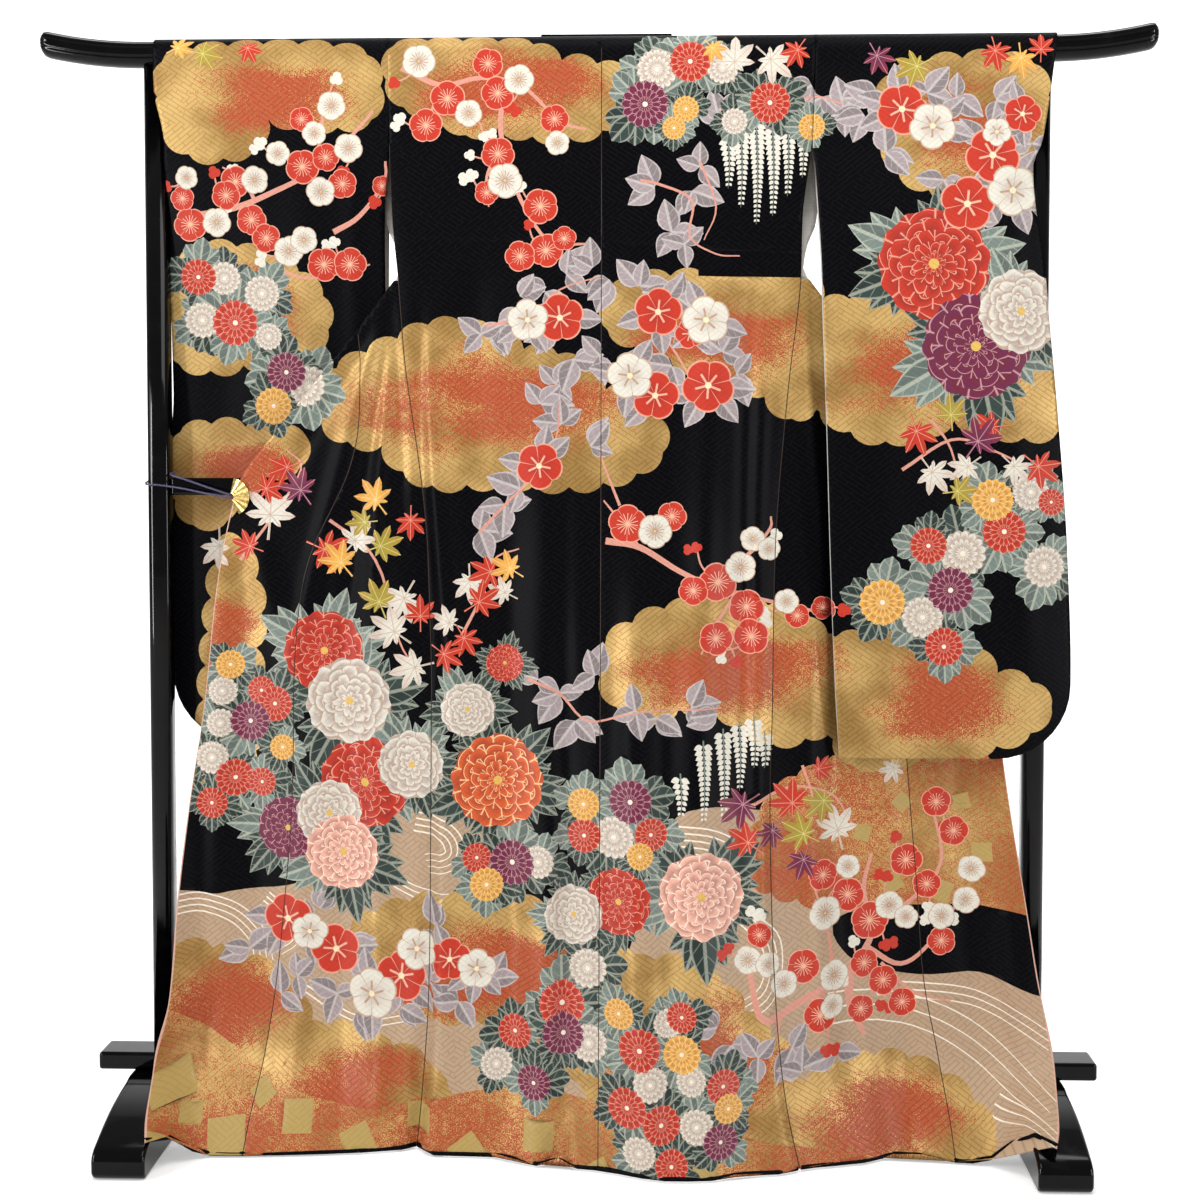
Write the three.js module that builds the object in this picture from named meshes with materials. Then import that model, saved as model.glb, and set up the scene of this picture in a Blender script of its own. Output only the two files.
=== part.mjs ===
import * as THREE from 'three';

// A furisode kimono, hung back outward over the top rail of a lacquered kimono stand.
// Millimetres. X runs to the right along the rail, -Y is the side that the back of the kimono
// faces, Z is up. The origin is on the floor, under the middle of the stand.
// Every panel of cloth is a closed wall, worked out from a few tables of its outline.

// stand
const railHeight = 1565;        // middle of the rail
const railHalfHeight = 19;
const railHalfDepth = 22;
const railHalfLength = 802;
const tipRise = 18;             // how far the rail's ends curve up
const tipStart = 650;
const postX = 634;
const postWidth = 33;
const barBottom = 928;
const barTop = 953;
const barDepth = 18;
const boardBottom = 84;
const boardTop = 110;
const boardDepth = 56;
const boardHalfLength = 727;
const footX = 640;
const footWidth = 74;
const footHalfLength = 225;
const touch = 0.3;              // between pieces that touch

// cloth
const thickness = 2.4;          // figured silk with its lining
const collarThickness = 4.4;    // folded collar
const neckThickness = 6;        // collar at the back of the neck
const collarWidth = 50;
const seam = 0.3;               // between pieces sewn together
const seat = 0.35;              // between the cloth and the rail
const centreX = 12;             // centre back seam
const armholeEnd = 1427;        // the sleeve is sewn on from the shoulder down to here
const underarm = 1243;          // the side seam starts here
const wristEnd = 1356;          // the sleeve's outer edge is closed below this
const rollRadius = 3.6;         // padded roll along the hem
const rollSeat = 0.6;           // between a roll and the wall above it
const rollEnd = 4;              // how far a roll ends before the side seam
const rollGap = 0.5;            // and before any other seam
const hemTop = 9.9;             // lower edge of the panels, on the roll
const fallPower = 1.8;          // how the cloth swings forward toward the hem
const liftReach = 138;          // height over which a raised hem corner levels out
const rippleHeight = 700;       // the hem's ripples fade out up to here on the swung fronts
const foldInset = 1.5;          // how far an upper front stays inside the turned edge
const pleatTurn = 8;            // width over which the pleat beside the side seam drops back
const overlapTip = 1340;        // top of the overlap, a point on the collar
const overlapTop = 1160;        // top of the overlap's part that is swung out
const overlapTurn = 1168;       // where its seam crosses the turned edge
const turnEnd = 953;            // lower end of the turned edge, just above the pin
const sleeveBottom = 560;
const arcStep = 15;             // degrees between rows over the rail

const mix = (a, b, t) => a + (b - a) * t;
const clamp = (t) => Math.min(1, Math.max(0, t));
const ease = (t) => clamp(t) * clamp(t) * (3 - 2 * clamp(t));

// A table with named columns, read smoothly at any value of its first column.
function table(names, rows) {
  const keys = names.split(' ');
  const at = rows.map((row) => row[0]);
  return (name, value) => {
    const y = rows.map((row) => row[keys.indexOf(name)]);
    const last = rows.length - 1;
    if (value <= at[0]) return y[0];
    if (value >= at[last]) return y[last];
    const i = at.findIndex((a, k) => value < at[k + 1]);
    const slope = (k) => (y[k + 1] - y[k]) / (at[k + 1] - at[k]);
    const tangent = (k) => {
      if (k === 0) return slope(0);
      if (k === last) return slope(last - 1);
      const before = slope(k - 1);
      const after = slope(k);
      return before * after <= 0 ? 0 : (2 * before * after) / (before + after);
    };
    const width = at[i + 1] - at[i];
    const t = (value - at[i]) / width;
    const rise = t * t * (3 - 2 * t);
    return mix(y[i], y[i + 1], rise) + width * (t * (1 - t) * (1 - t) * tangent(i)
      - t * t * (1 - t) * tangent(i + 1));
  };
}

// Outline of the body: where its two side edges run, from the hem to the shoulder.
const side = table('height left right', [
  [0, -249, 291], [100, -240, 270], [212, -233, 259], [350, -231, 253], [490, -231, 251],
  [640, -231, 255], [770, -235, 257], [868, -239, 260], [1012, -255, 271], [1110, -269, 281],
  [1243, -280, 296], [1327, -288, 298], [1427, -292, 311], [1590, -295, 317],
]);

// How far the hem stands forward of the rail, along the floor.
const hemForward = table('x forward', [
  [-603, 219], [-588, 188], [-570, 165], [-547, 145], [-483, 142], [-380, 131], [-270, 108],
  [-249, 93], [-230, 125], [-130, 130], [-75, 158], [-45, 143], [-20, 166], [22, 174],
  [65, 193], [105, 205], [155, 204], [208, 185], [280, 171], [291, 160], [378, 136],
  [447, 103], [465, 114], [500, 129], [545, 136], [575, 150], [592, 172], [605, 192], [627, 219],
]);

// Front panels, swung out past the side seams: edge is their outer edge (the edge where they turn
// over above the pin, the front edge below it), overlapSeam the seam of the overlap, forward the
// depth of the edge. A pleat beside the side seam ends at pleat and stands out by rise.
const frontLeft = table('height edge overlapSeam forward pleat rise', [
  [0, -603, -489, 219, -262, 0], [50, -614, -484, 175, -262, 0], [125, -622, -474, 100, -262, 0],
  [204, -607, -463, 76, -262, 0], [345, -598, -446, 61, -262, 0], [489, -582, -434, 50, -262, 0],
  [632, -561, -431, 40, -262, 0], [777, -546, -422, 35, -262, 0], [850, -535, -404, 32, -262, 2],
  [950, -510, -357, 28, -264, 7], [1010, -466, -340, 28, -266, 8], [1088, -403, -334, 28, -270, 8],
  [1168, -338, -338, 28, -277, 5], [1238, -284, -284, 27.5, -282, 0],
]);
const frontRight = table('height edge overlapSeam forward pleat rise', [
  [0, 627, 509, 219, 330, 0], [50, 640, 505, 175, 330, 0], [125, 648, 495, 108, 330, 0],
  [241, 631, 474, 75, 330, 0], [359, 614, 465, 60, 330, 0], [489, 592, 453, 53, 330, 0],
  [564, 582, 447, 50, 333, 4], [700, 564, 442, 40, 333, 13], [809, 549, 430, 34, 330, 16],
  [902, 536, 400, 30, 325, 16], [950, 527, 373, 28, 321, 15], [1010, 486, 358, 29, 316, 14],
  [1088, 422, 352, 30, 308, 11], [1168, 359, 359, 30, 304, 6], [1238, 306, 306, 31, 303, 0],
]);
const hemLift = table('x lift', [
  [-603, 46], [-588, 44], [-570, 20], [-547, 3], [-530, 0], [535, 0], [560, 10], [578, 32],
  [593, 54], [606, 59], [627, 55],
]);

// Upper fronts, behind the rail: collar is the edge that the collar is sewn to, overlapSeam the
// seam of the overlap, armhole the free edge between the sleeve and the side seam. armholeBack
// and collarBack say how far behind the middle of the rail the two edges lie.
const upperLeft = table('height collar overlapSeam armhole armholeBack collarBack', [
  [953, -498, -332, -277, -25, -23.5], [965, -458, -332, -277, -25, -22],
  [1010, -350, -332, -277, -25, -18], [1100, -215, -332, -277, -25, -12],
  [1168, -160, -332, -277, -25, -6], [1243, -128, -190, -277, -24.5, 0],
  [1280, -115, -150, -283, -10, 3], [1320, -102, -114, -301, 5, 6], [1340, -97, -102, -303, 10, 8],
  [1400, -88, -88, -299, 21, 14], [1427, -86, -86, -292, 25, 18], [1540, -77, -77, -295, 23.6, 23.6],
  [1590, -76, -76, -295, 23.6, 23.6],
]);
const upperRight = table('height collar overlapSeam armhole armholeBack collarBack', [
  [953, 514, 353, 299, -28, -23.5], [965, 476, 353, 299, -28, -22],
  [1010, 377, 353, 299, -28, -18], [1100, 246, 353, 299, -28, -12],
  [1168, 192, 353, 299, -28, -6], [1243, 158, 220, 299, -27.5, 0],
  [1280, 145, 180, 304, -20, 3], [1320, 134, 145, 319, -8, 6], [1340, 130, 135, 321, -2, 8],
  [1400, 122, 122, 317, 3, 14], [1427, 120, 120, 311, 4, 18], [1540, 113, 113, 317, 23.6, 23.6],
  [1590, 112, 112, 317, 23.6, 23.6],
]);

// Heights of the rows. Neighbouring panels share those below the underarm, so that their seams
// run side by side.
const backRows = [1565, 1500, 1427, 1340];
const upperRows = [1565, 1540, 1480, 1427, 1400, 1370, 1340, 1320, 1300, 1280, 1262];
const sharedRows = [1243, 1238, 1200, 1168, 1160, 1125, 1088, 1050, 1010, 980, 965, 953, 902, 850,
  800, 750, 700, 632, 564, 489, 417, 345, 275, 204, 160, 125, 100, 75, 50, 28, hemTop];

// Sleeves: outer and inner edges, how far forward the layer toward -Y and the layer behind it
// hang where the sleeve is open, and how far forward its closed edge runs.
const sleeveLeft = table('height outer farOuter inner near far edge', [
  [560, -618, -618, -318, -21, -42, -27], [780, -620, -620, -312, -20, -42, -26],
  [1000, -619, -619, -308, -19.6, -42, -25], [1080, -613, -613, -306, -15, -40, -18],
  [1200, -613, -613, -303, -6, -36, -10], [1326, -613, -613, -301, 9, -33, 2],
  [1356, -613, -613, -300, 12, -32, 6], [1427, -614, -614, -292, 23, -29, 12],
  [1510, -631, -628, -294, 23.6, -25, 12], [1590, -633, -633, -295, 23.6, -23.6, 12],
]);
const sleeveRight = table('height outer farOuter inner near far edge', [
  [560, 671, 671, 349, 82, 71, 76], [675, 671, 671, 342, 86, 72, 76],
  [853, 665, 665, 335, 82, 66, 73], [1036, 653, 653, 330, 72, 55, 62],
  [1163, 643, 643, 326, 61, 43, 51], [1262, 635, 635, 323, 52, 34, 42],
  [1346, 624, 621, 318, 42, 22, 30], [1395, 621, 612, 315, 36, 12, 25],
  [1427, 633, 612, 311, 32, -1, 22], [1490, 644, 612, 313, 28, -20, 20],
  [1540, 651, 638, 315, 24, -23.6, 20], [1590, 657, 655, 317, 23.6, -23.6, 20],
]);
const cornerRadius = 104;       // rounded lower corner of a sleeve
const closeReach = 90;          // how wide a sleeve's layers come together toward a closed edge
const wristTaper = 64;          // height over which the wrist opening narrows to a closed edge

const lacquer = new THREE.MeshStandardMaterial({ color: 0x0a0a0c, roughness: 0.18, metalness: 0 });
const dyedSilk = new THREE.MeshStandardMaterial({ color: 0x14141a, roughness: 0.55, metalness: 0 });
const hemSilk = new THREE.MeshStandardMaterial({ color: 0x0b0b0e, roughness: 0.6, metalness: 0 });
const gilt = new THREE.MeshStandardMaterial({ color: 0xc9a75a, roughness: 0.35, metalness: 0.9 });
const purpleCord = new THREE.MeshStandardMaterial({ color: 0x2a1b5c, roughness: 0.7, metalness: 0 });

const kimono = new THREE.Group();

function add(name, geometry, material) {
  const mesh = new THREE.Mesh(geometry, material);
  mesh.name = name;
  kimono.add(mesh);
  return mesh;
}

// A closed body from a grid of points in the middle of the cloth, each with the half thickness
// that leads to its two faces.
function clothWall(grid) {
  const rows = grid.length;
  const across = grid[0].length;
  const positions = [];
  for (const way of [1, -1]) {
    for (const row of grid) {
      for (const { point, half } of row) {
        positions.push(point.x + way * half.x, point.y + way * half.y, point.z + way * half.z);
      }
    }
  }
  const index = [];
  const front = (r, c) => r * across + c;
  const back = (r, c) => rows * across + r * across + c;
  const quad = (a, b, c, d) => index.push(a, b, c, a, c, d);
  for (let r = 0; r < rows - 1; r += 1) {
    for (let c = 0; c < across - 1; c += 1) {
      quad(front(r, c), front(r, c + 1), front(r + 1, c + 1), front(r + 1, c));
      quad(back(r, c), back(r + 1, c), back(r + 1, c + 1), back(r, c + 1));
    }
    quad(front(r, 0), front(r + 1, 0), back(r + 1, 0), back(r, 0));
    quad(front(r, across - 1), back(r, across - 1), back(r + 1, across - 1), front(r + 1, across - 1));
  }
  for (let c = 0; c < across - 1; c += 1) {
    quad(front(0, c), back(0, c), back(0, c + 1), front(0, c + 1));
    quad(front(rows - 1, c), front(rows - 1, c + 1), back(rows - 1, c + 1), back(rows - 1, c));
  }
  const geometry = new THREE.BufferGeometry();
  geometry.setAttribute('position', new THREE.Float32BufferAttribute(positions, 3));
  geometry.setIndex(enclosed(positions, index) < 0 ? index.reverse() : index);
  return geometry;
}

// Six times the volume that the triangles enclose, negative when they face inward.
function enclosed(positions, index) {
  const corner = (i) => new THREE.Vector3().fromArray(positions, 3 * index[i]);
  let sum = 0;
  for (let i = 0; i < index.length; i += 3) {
    sum += corner(i).dot(corner(i + 1).cross(corner(i + 2)));
  }
  return sum;
}

// Rows of a panel: angles over the rail, from its top down, then heights below its middle.
const arcRows = [];
for (let angle = 90; angle > 0; angle -= arcStep) arcRows.push({ angle });
const hanging = (heights) => heights.map((height) => ({ height }));
const evenly = (top, bottom, count) => Array.from(
  { length: count + 1 },
  (_, k) => mix(top, bottom, k / count),
);

// Where a row meets the rail, or hangs below it. way is -1 toward the viewer, 1 behind the rail;
// acrossAt(height) gives the x, and backAt(height) how far in y the middle of the cloth lies.
function hang(row, way, thick, acrossAt, backAt) {
  if (row.angle === undefined) {
    const x = acrossAt(row.height);
    return {
      point: new THREE.Vector3(x, backAt(row.height, x), row.height),
      half: new THREE.Vector3(0, thick / 2, 0),
    };
  }
  const reachY = railHalfDepth + seat + thick / 2;
  const reachZ = railHalfHeight + seat + thick / 2;
  const turn = THREE.MathUtils.degToRad(row.angle === 90 ? 90 - seam : row.angle);
  const height = railHeight + reachZ * Math.sin(turn);
  return {
    point: new THREE.Vector3(acrossAt(height), way * reachY * Math.cos(turn), height),
    half: new THREE.Vector3(0, (way * Math.cos(turn) * thick) / 2, (Math.sin(turn) * thick) / 2),
  };
}

const onRail = railHalfDepth + seat + thickness / 2;

// Depth of the back at a height, where the hem below stands that far forward.
function backDepth(forward, height) {
  return onRail + (forward - onRail) * ((railHeight - height) / railHeight) ** fallPower;
}

function panel(name, rows, columns, place) {
  const grid = rows.map((row) => columns.map((k) => place(row, k)));
  add(name, clothWall(grid), dyedSilk);
  return grid[grid.length - 1].map(({ point }) => point);
}

// A closed body around rings of points.
function tube(rings) {
  const sides = rings[0].length;
  const positions = rings.flat().flatMap((point) => point.toArray());
  const index = [];
  const at = (r, k) => r * sides + (k % sides);
  for (let r = 0; r < rings.length - 1; r += 1) {
    for (let k = 0; k < sides; k += 1) {
      index.push(at(r, k), at(r, k + 1), at(r + 1, k + 1), at(r, k), at(r + 1, k + 1), at(r + 1, k));
    }
  }
  const last = rings.length - 1;
  for (let k = 1; k < sides - 1; k += 1) {
    index.push(at(0, 0), at(0, k + 1), at(0, k), at(last, 0), at(last, k), at(last, k + 1));
  }
  const geometry = new THREE.BufferGeometry();
  geometry.setAttribute('position', new THREE.Float32BufferAttribute(positions, 3));
  geometry.setIndex(enclosed(positions, index) < 0 ? index.reverse() : index);
  return geometry;
}

// Padded roll just under the lower edge of a wall, along that edge's points and a little shorter.
function hemRoll(name, edgePoints, startGap, endGap) {
  const last = edgePoints.length - 1;
  const line = edgePoints.map((point) => point.clone());
  line[0].lerp(edgePoints[1], startGap / line[0].distanceTo(edgePoints[1]));
  line[last].lerp(edgePoints[last - 1], endGap / line[last].distanceTo(edgePoints[last - 1]));
  const rings = line.map((point, k) => {
    const run = line[Math.min(last, k + 1)].clone().sub(line[Math.max(0, k - 1)]);
    const across = new THREE.Vector3(-run.y, run.x, 0).setLength(rollRadius);
    return Array.from({ length: 8 }, (_, n) => {
      const turn = (n + 0.5) * (Math.PI / 4);
      const corner = point.clone().addScaledVector(across, Math.cos(turn));
      return corner.setZ(point.z - rollSeat - rollRadius * (1 - Math.sin(turn)));
    });
  });
  add(name, tube(rings), hemSilk);
}

// Back: two panels, sewn together down the centre back. out is -1 on the left, 1 on the right.
function backPanel(edge, out) {
  const name = `back_${edge}`;
  const hemEdge = side(edge, 0);
  const place = (row, u) => {
    const acrossAt = (height) => mix(
      side(edge, height) - (out * seam) / 2,
      centreX + (out * seam) / 2,
      u,
    );
    const forward = hemForward('forward', mix(hemEdge, centreX, u));
    return hang(row, -1, thickness, acrossAt, (height) => -backDepth(forward, height));
  };
  const rows = [...arcRows, ...hanging([...backRows, ...sharedRows])];
  hemRoll(`hem_${name}`, panel(name, rows, evenly(0, 1, 9), place), rollEnd, rollGap);
}

// A point of a front that is swung out: u runs from the side seam to its outer edge.
function swungPoint(outline, edge, height, u) {
  const hemEdge = side(edge, 0);
  const hemX = mix(hemEdge, outline('edge', 0), u);
  const x = mix(side(edge, height), outline('edge', height), u);
  const rise = outline('rise', height);
  const sideDepth = (at) => backDepth(hemForward('forward', hemEdge), at);
  const base = (at) => mix(outline('forward', at), sideDepth(at) - outline('rise', at), (1 - u) ** 2);
  const pastPleat = (Math.abs(x) - Math.abs(outline('pleat', height))) / pleatTurn;
  const ripple = hemForward('forward', hemX) - base(0);
  const fade = clamp(1 - height / rippleHeight) ** 1.6;
  const level = clamp((height - hemTop) / liftReach);
  const lift = hemLift('lift', hemX) * (1 - level) ** 2;
  const depth = base(height) + rise * (1 - ease(pastPleat)) + ripple * fade;
  return {
    point: new THREE.Vector3(x, -depth, height + lift),
    half: new THREE.Vector3(0, thickness / 2, 0),
  };
}

// Front: the panel from the side seam to the seam of the overlap, and the overlap beyond it.
function swungFront(edge, outline) {
  const width = (height) => Math.abs(outline('edge', height) - side(edge, height));
  const shareOf = (column, height) => clamp(
    Math.abs(outline(column, height) - side(edge, height)) / width(height),
  );
  const seamAt = (height) => shareOf('overlapSeam', height);
  const turn = (height) => pleatTurn / width(height);
  const pleatAt = (height) => Math.min(shareOf('pleat', height), 0.6 * seamAt(height));
  const pleatFoot = (height) => Math.min(pleatAt(height) + turn(height), 0.8 * seamAt(height));
  const seamGap = (height) => seam / 2 / width(height);
  const frontPlace = (row, k) => {
    const { height } = row;
    const stops = [seamGap(height), pleatAt(height), pleatFoot(height), seamAt(height) - seamGap(height)];
    const leg = Math.min(2, Math.floor(k));
    return swungPoint(outline, edge, height, mix(stops[leg], stops[leg + 1], k - leg));
  };
  const overlapPlace = (row, k) => {
    const gap = seamGap(row.height);
    return swungPoint(outline, edge, row.height, mix(seamAt(row.height) + gap, 1 - gap, k));
  };
  const below = (top) => hanging(sharedRows.filter((height) => height <= top));
  const columns = [0, 0.5, 1, 2, 2.25, 2.5, 2.75, 3];
  const frontHem = panel(`front_${edge}`, below(underarm - touch), columns, frontPlace);
  const overlapHem = panel(`overlap_${edge}`, below(overlapTop), evenly(0, 1, 5), overlapPlace);
  hemRoll(`hem_front_${edge}`, frontHem, rollEnd, rollGap);
  hemRoll(`hem_overlap_${edge}`, overlapHem, rollGap, rollGap);
}

// Upper front, behind the rail: from the shoulder down to the edge where the cloth turns over
// and swings outward, and the part of the overlap that runs up to a point on the collar.
function upperFront(edge, out, outline, swung) {
  const outerAt = (height) => {
    if (height >= armholeEnd) return side(edge, height) - (out * seam) / 2;
    if (height >= underarm) return outline('armhole', height) - (out * seam) / 2;
    return swung('edge', height) - out * foldInset;
  };
  const collarAt = (height) => outline('collar', height) + (out * seam) / 2;
  const seamAt = (height) => outline('overlapSeam', height);
  const outerBack = (height) => (height >= underarm
    ? outline('armholeBack', height)
    : thickness + touch - swung('forward', height));
  const backAt = (height, x) => {
    const share = (x - outerAt(height)) / (outline('collar', height) - outerAt(height));
    return mix(outerBack(height), outline('collarBack', height), clamp(share));
  };
  const between = (fromAt, toAt) => (row, k) => hang(
    row,
    1,
    thickness,
    (height) => mix(fromAt(height), toAt(height), k),
    backAt,
  );
  const rows = [...upperRows, ...sharedRows];
  const part = (top, bottom) => hanging(rows.filter((h) => h <= top && h >= bottom));
  const frontTo = (height) => (height > overlapTip
    ? collarAt(height) : seamAt(height) + (out * seam) / 2);
  const overlapFrom = (height) => (height >= overlapTurn
    ? seamAt(height) - (out * seam) / 2 : outerAt(height));
  const frontRows = [...arcRows, ...part(railHeight, overlapTurn)];
  panel(`front_upper_${edge}`, frontRows, evenly(0, 1, 6), between(outerAt, frontTo));
  const overlapRows = part(overlapTip, turnEnd);
  panel(`overlap_upper_${edge}`, overlapRows, evenly(0, 1, 5), between(overlapFrom, collarAt));
  collarStrip(`collar_${edge}`, out, outline, part(1540, turnEnd));
}

// Collar: a folded strip along the upper front's edge, from the neck down.
function collarStrip(name, out, outline, rows) {
  const step = 4;
  const place = (row, k) => {
    const along = new THREE.Vector2(
      outline('collar', row.height - step) - outline('collar', row.height + step),
      -2 * step,
    ).normalize();
    const reach = mix(seam / 2, collarWidth, k);
    return {
      point: new THREE.Vector3(
        outline('collar', row.height) + out * along.y * reach,
        outline('collarBack', row.height),
        row.height - out * along.x * reach,
      ),
      half: new THREE.Vector3(0, collarThickness / 2, 0),
    };
  };
  panel(name, rows, [0, 0.5, 1], place);
}

// Collar at the back of the neck, folded over the rail.
function neckCollar() {
  const rows = [...arcRows, ...hanging(evenly(railHeight, 1542, 2))];
  const from = upperLeft('collar', 1590) + seam / 2;
  const to = upperRight('collar', 1590) - seam / 2;
  const reach = railHalfDepth + seat + neckThickness / 2;
  const place = (row, u) => hang(row, 1, neckThickness, () => mix(from, to, u), () => reach);
  panel('collar_back', rows, evenly(0, 1, 6), place);
}

// Sleeve: one length of cloth folded over the rail, its two layers closed along the bottom and
// below the wrist, open at the wrist and along the inner edge below the armhole.
function sleeveLayer(edge, out, outline, layer, facing) {
  const outerAt = (height) => {
    const rise = clamp((sleeveBottom + cornerRadius - height) / cornerRadius);
    const column = layer === 'far' ? 'farOuter' : 'outer';
    return outline(column, height) - out * cornerRadius * (1 - Math.sqrt(1 - rise * rise));
  };
  const innerAt = (height) => (height >= armholeEnd
    ? side(edge, height) : outline('inner', height)) + (out * seam) / 2;
  const backAt = (height, x) => {
    const open = -outline(layer, height);
    const closed = (facing * (thickness + seam)) / 2 - outline('edge', height);
    const shut = ease((wristEnd + wristTaper - height) / wristTaper);
    const atEdge = shut * clamp(1 - Math.abs(x - outerAt(height)) / closeReach) ** 2;
    const atBottom = clamp(1 - (height - sleeveBottom) / closeReach) ** 2;
    return mix(open, closed, Math.max(atEdge, atBottom));
  };
  const heights = [...evenly(railHeight, sleeveBottom + cornerRadius, 12),
    ...evenly(sleeveBottom + cornerRadius, sleeveBottom, 5).slice(1)];
  const place = (row, u) => hang(
    row,
    facing,
    thickness,
    (height) => mix(innerAt(height), outerAt(height), u),
    backAt,
  );
  panel(`sleeve_${edge}_${layer}`, [...arcRows, ...hanging(heights)], evenly(0, 1, 8), place);
}

function sleeve(edge, out, outline) {
  sleeveLayer(edge, out, outline, 'near', -1);
  sleeveLayer(edge, out, outline, 'far', 1);
}

// Stand: rail with upturned ends, posts, bar, board and feet.
function rail() {
  const sections = 20;
  const sides = 24;
  const rings = evenly(-1, 1, sections).map((t) => {
    const x = railHalfLength * Math.sign(t) * Math.abs(t) ** 0.6;
    const past = Math.max(0, Math.abs(x) - tipStart) / (railHalfLength - tipStart);
    return Array.from({ length: sides }, (_, k) => {
      const turn = (2 * Math.PI * k) / sides;
      const rise = tipRise * past * past + railHalfHeight * Math.sin(turn);
      return new THREE.Vector3(x, railHalfDepth * Math.cos(turn), railHeight + rise);
    });
  });
  add('rail', tube(rings), lacquer);
}

// Square section with rounded corners, extruded upward.
function post(name, x) {
  const half = postWidth / 2;
  const corner = 6;
  const outline = new THREE.Shape();
  outline.absarc(half - corner, half - corner, corner, 0, Math.PI / 2);
  outline.absarc(corner - half, half - corner, corner, Math.PI / 2, Math.PI);
  outline.absarc(corner - half, corner - half, corner, Math.PI, 1.5 * Math.PI);
  outline.absarc(half - corner, corner - half, corner, 1.5 * Math.PI, 2 * Math.PI);
  const height = railHeight - railHalfHeight - touch - (boardTop + touch);
  const geometry = new THREE.ExtrudeGeometry(outline, {
    depth: height, bevelEnabled: false, curveSegments: 4,
  });
  add(name, geometry, lacquer).position.set(x, 0, boardTop + touch);
}

function foot(name, x) {
  const top = boardBottom - touch;
  const outline = new THREE.Shape();
  const half = footHalfLength;
  outline.moveTo(-half + 12, 0);
  outline.lineTo(half - 12, 0);
  outline.quadraticCurveTo(half, 0, half, 12);
  outline.lineTo(half, 26);
  outline.quadraticCurveTo(half, 36, half - 12, 41);
  outline.quadraticCurveTo(150, 64, 60, 80);
  outline.quadraticCurveTo(48, top, 34, top);
  outline.lineTo(-34, top);
  outline.quadraticCurveTo(-48, top, -60, 80);
  outline.quadraticCurveTo(-150, 64, -half + 12, 41);
  outline.quadraticCurveTo(-half, 36, -half, 26);
  outline.lineTo(-half, 12);
  outline.quadraticCurveTo(-half, 0, -half + 12, 0);
  const geometry = new THREE.ExtrudeGeometry(outline, {
    depth: footWidth, bevelEnabled: false, curveSegments: 6,
  });
  geometry.rotateX(Math.PI / 2);
  geometry.rotateZ(Math.PI / 2);
  add(name, geometry, lacquer).position.set(x - footWidth / 2, 0, 0);
}

function stand() {
  rail();
  post('post_left', -postX);
  post('post_right', postX);
  const barLength = 2 * postX - postWidth - 2 * touch;
  const bar = new THREE.BoxGeometry(barLength, barDepth, barTop - barBottom);
  add('middle_bar', bar, lacquer).position.set(0, 0, (barTop + barBottom) / 2);
  const board = new THREE.BoxGeometry(2 * boardHalfLength, boardDepth, boardTop - boardBottom);
  add('lower_board', board, lacquer).position.set(0, 0, (boardTop + boardBottom) / 2);
  foot('foot_left', -footX);
  foot('foot_right', footX);
}

// Small pleated fan of gilt metal that holds the left front's edge, and the cord that ties it
// to the post, once round it above the bar.
const fanX = -524;
const fanHeight = 926;
const fanFace = -32.2;
const fanRadius = 28;
const fanHub = 5.4;
const cordRadius = 1.4;

function fanClip() {
  const ribs = 14;
  const grid = [fanHub, 17, fanRadius].map((radius) => Array.from({ length: ribs + 1 }, (_, k) => {
    const turn = THREE.MathUtils.degToRad(mix(-62, 78, k / ribs));
    const pleat = (k % 2 === 0 ? -0.5 : 0.5) * (radius / fanRadius);
    return {
      point: new THREE.Vector3(
        fanX + radius * Math.cos(turn),
        fanFace + pleat,
        fanHeight + radius * Math.sin(turn),
      ),
      half: new THREE.Vector3(0, 0.8, 0),
    };
  }));
  add('fan_clip', clothWall(grid), gilt);
}

function tieCord() {
  const inner = -postX + postWidth / 2 + touch + cordRadius;
  const outer = -postX - postWidth / 2 - touch - cordRadius;
  const face = postWidth / 2 + touch + cordRadius;
  const bend = 2;
  const route = [
    [fanX + 3.8, fanFace, fanHeight - 1.75], [-560, -29, 931], [-596, -23, 938],
    [inner - bend, -face, 941], [-postX, -face - 0.2, 943], [outer + bend, -face, 944],
    [outer, -face + bend, 945], [outer, 0, 948], [outer, face - bend, 952],
    [outer + bend, face, 953], [-postX, face + 0.2, 957], [inner - bend, face, 960],
    [inner, face - bend, 960], [inner, 0, 960], [inner + 0.5, -face + bend, 959],
    [inner + 5, -face - 4, 957], [-588, -26, 950], [-552, -30, 938],
    [fanX + 3.8, fanFace, fanHeight + 1.75],
  ];
  const path = new THREE.CatmullRomCurve3(
    route.map(([x, y, z]) => new THREE.Vector3(x, y, z)),
    false,
    'centripetal',
  );
  const section = new THREE.Shape(Array.from({ length: 8 }, (_, k) => new THREE.Vector2(
    cordRadius * Math.cos((k * Math.PI) / 4),
    cordRadius * Math.sin((k * Math.PI) / 4),
  )));
  const geometry = new THREE.ExtrudeGeometry(section, { extrudePath: path, steps: 44 });
  add('tie_cord', geometry, purpleCord);
}

stand();
backPanel('left', -1);
backPanel('right', 1);
swungFront('left', frontLeft);
swungFront('right', frontRight);
upperFront('left', -1, upperLeft, frontLeft);
upperFront('right', 1, upperRight, frontRight);
sleeve('left', -1, sleeveLeft);
sleeve('right', 1, sleeveRight);
neckCollar();
fanClip();
tieCord();

export default kimono;
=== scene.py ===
import math
import random

import bmesh
import bpy
import numpy as np
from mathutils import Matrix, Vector, geometry


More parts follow.
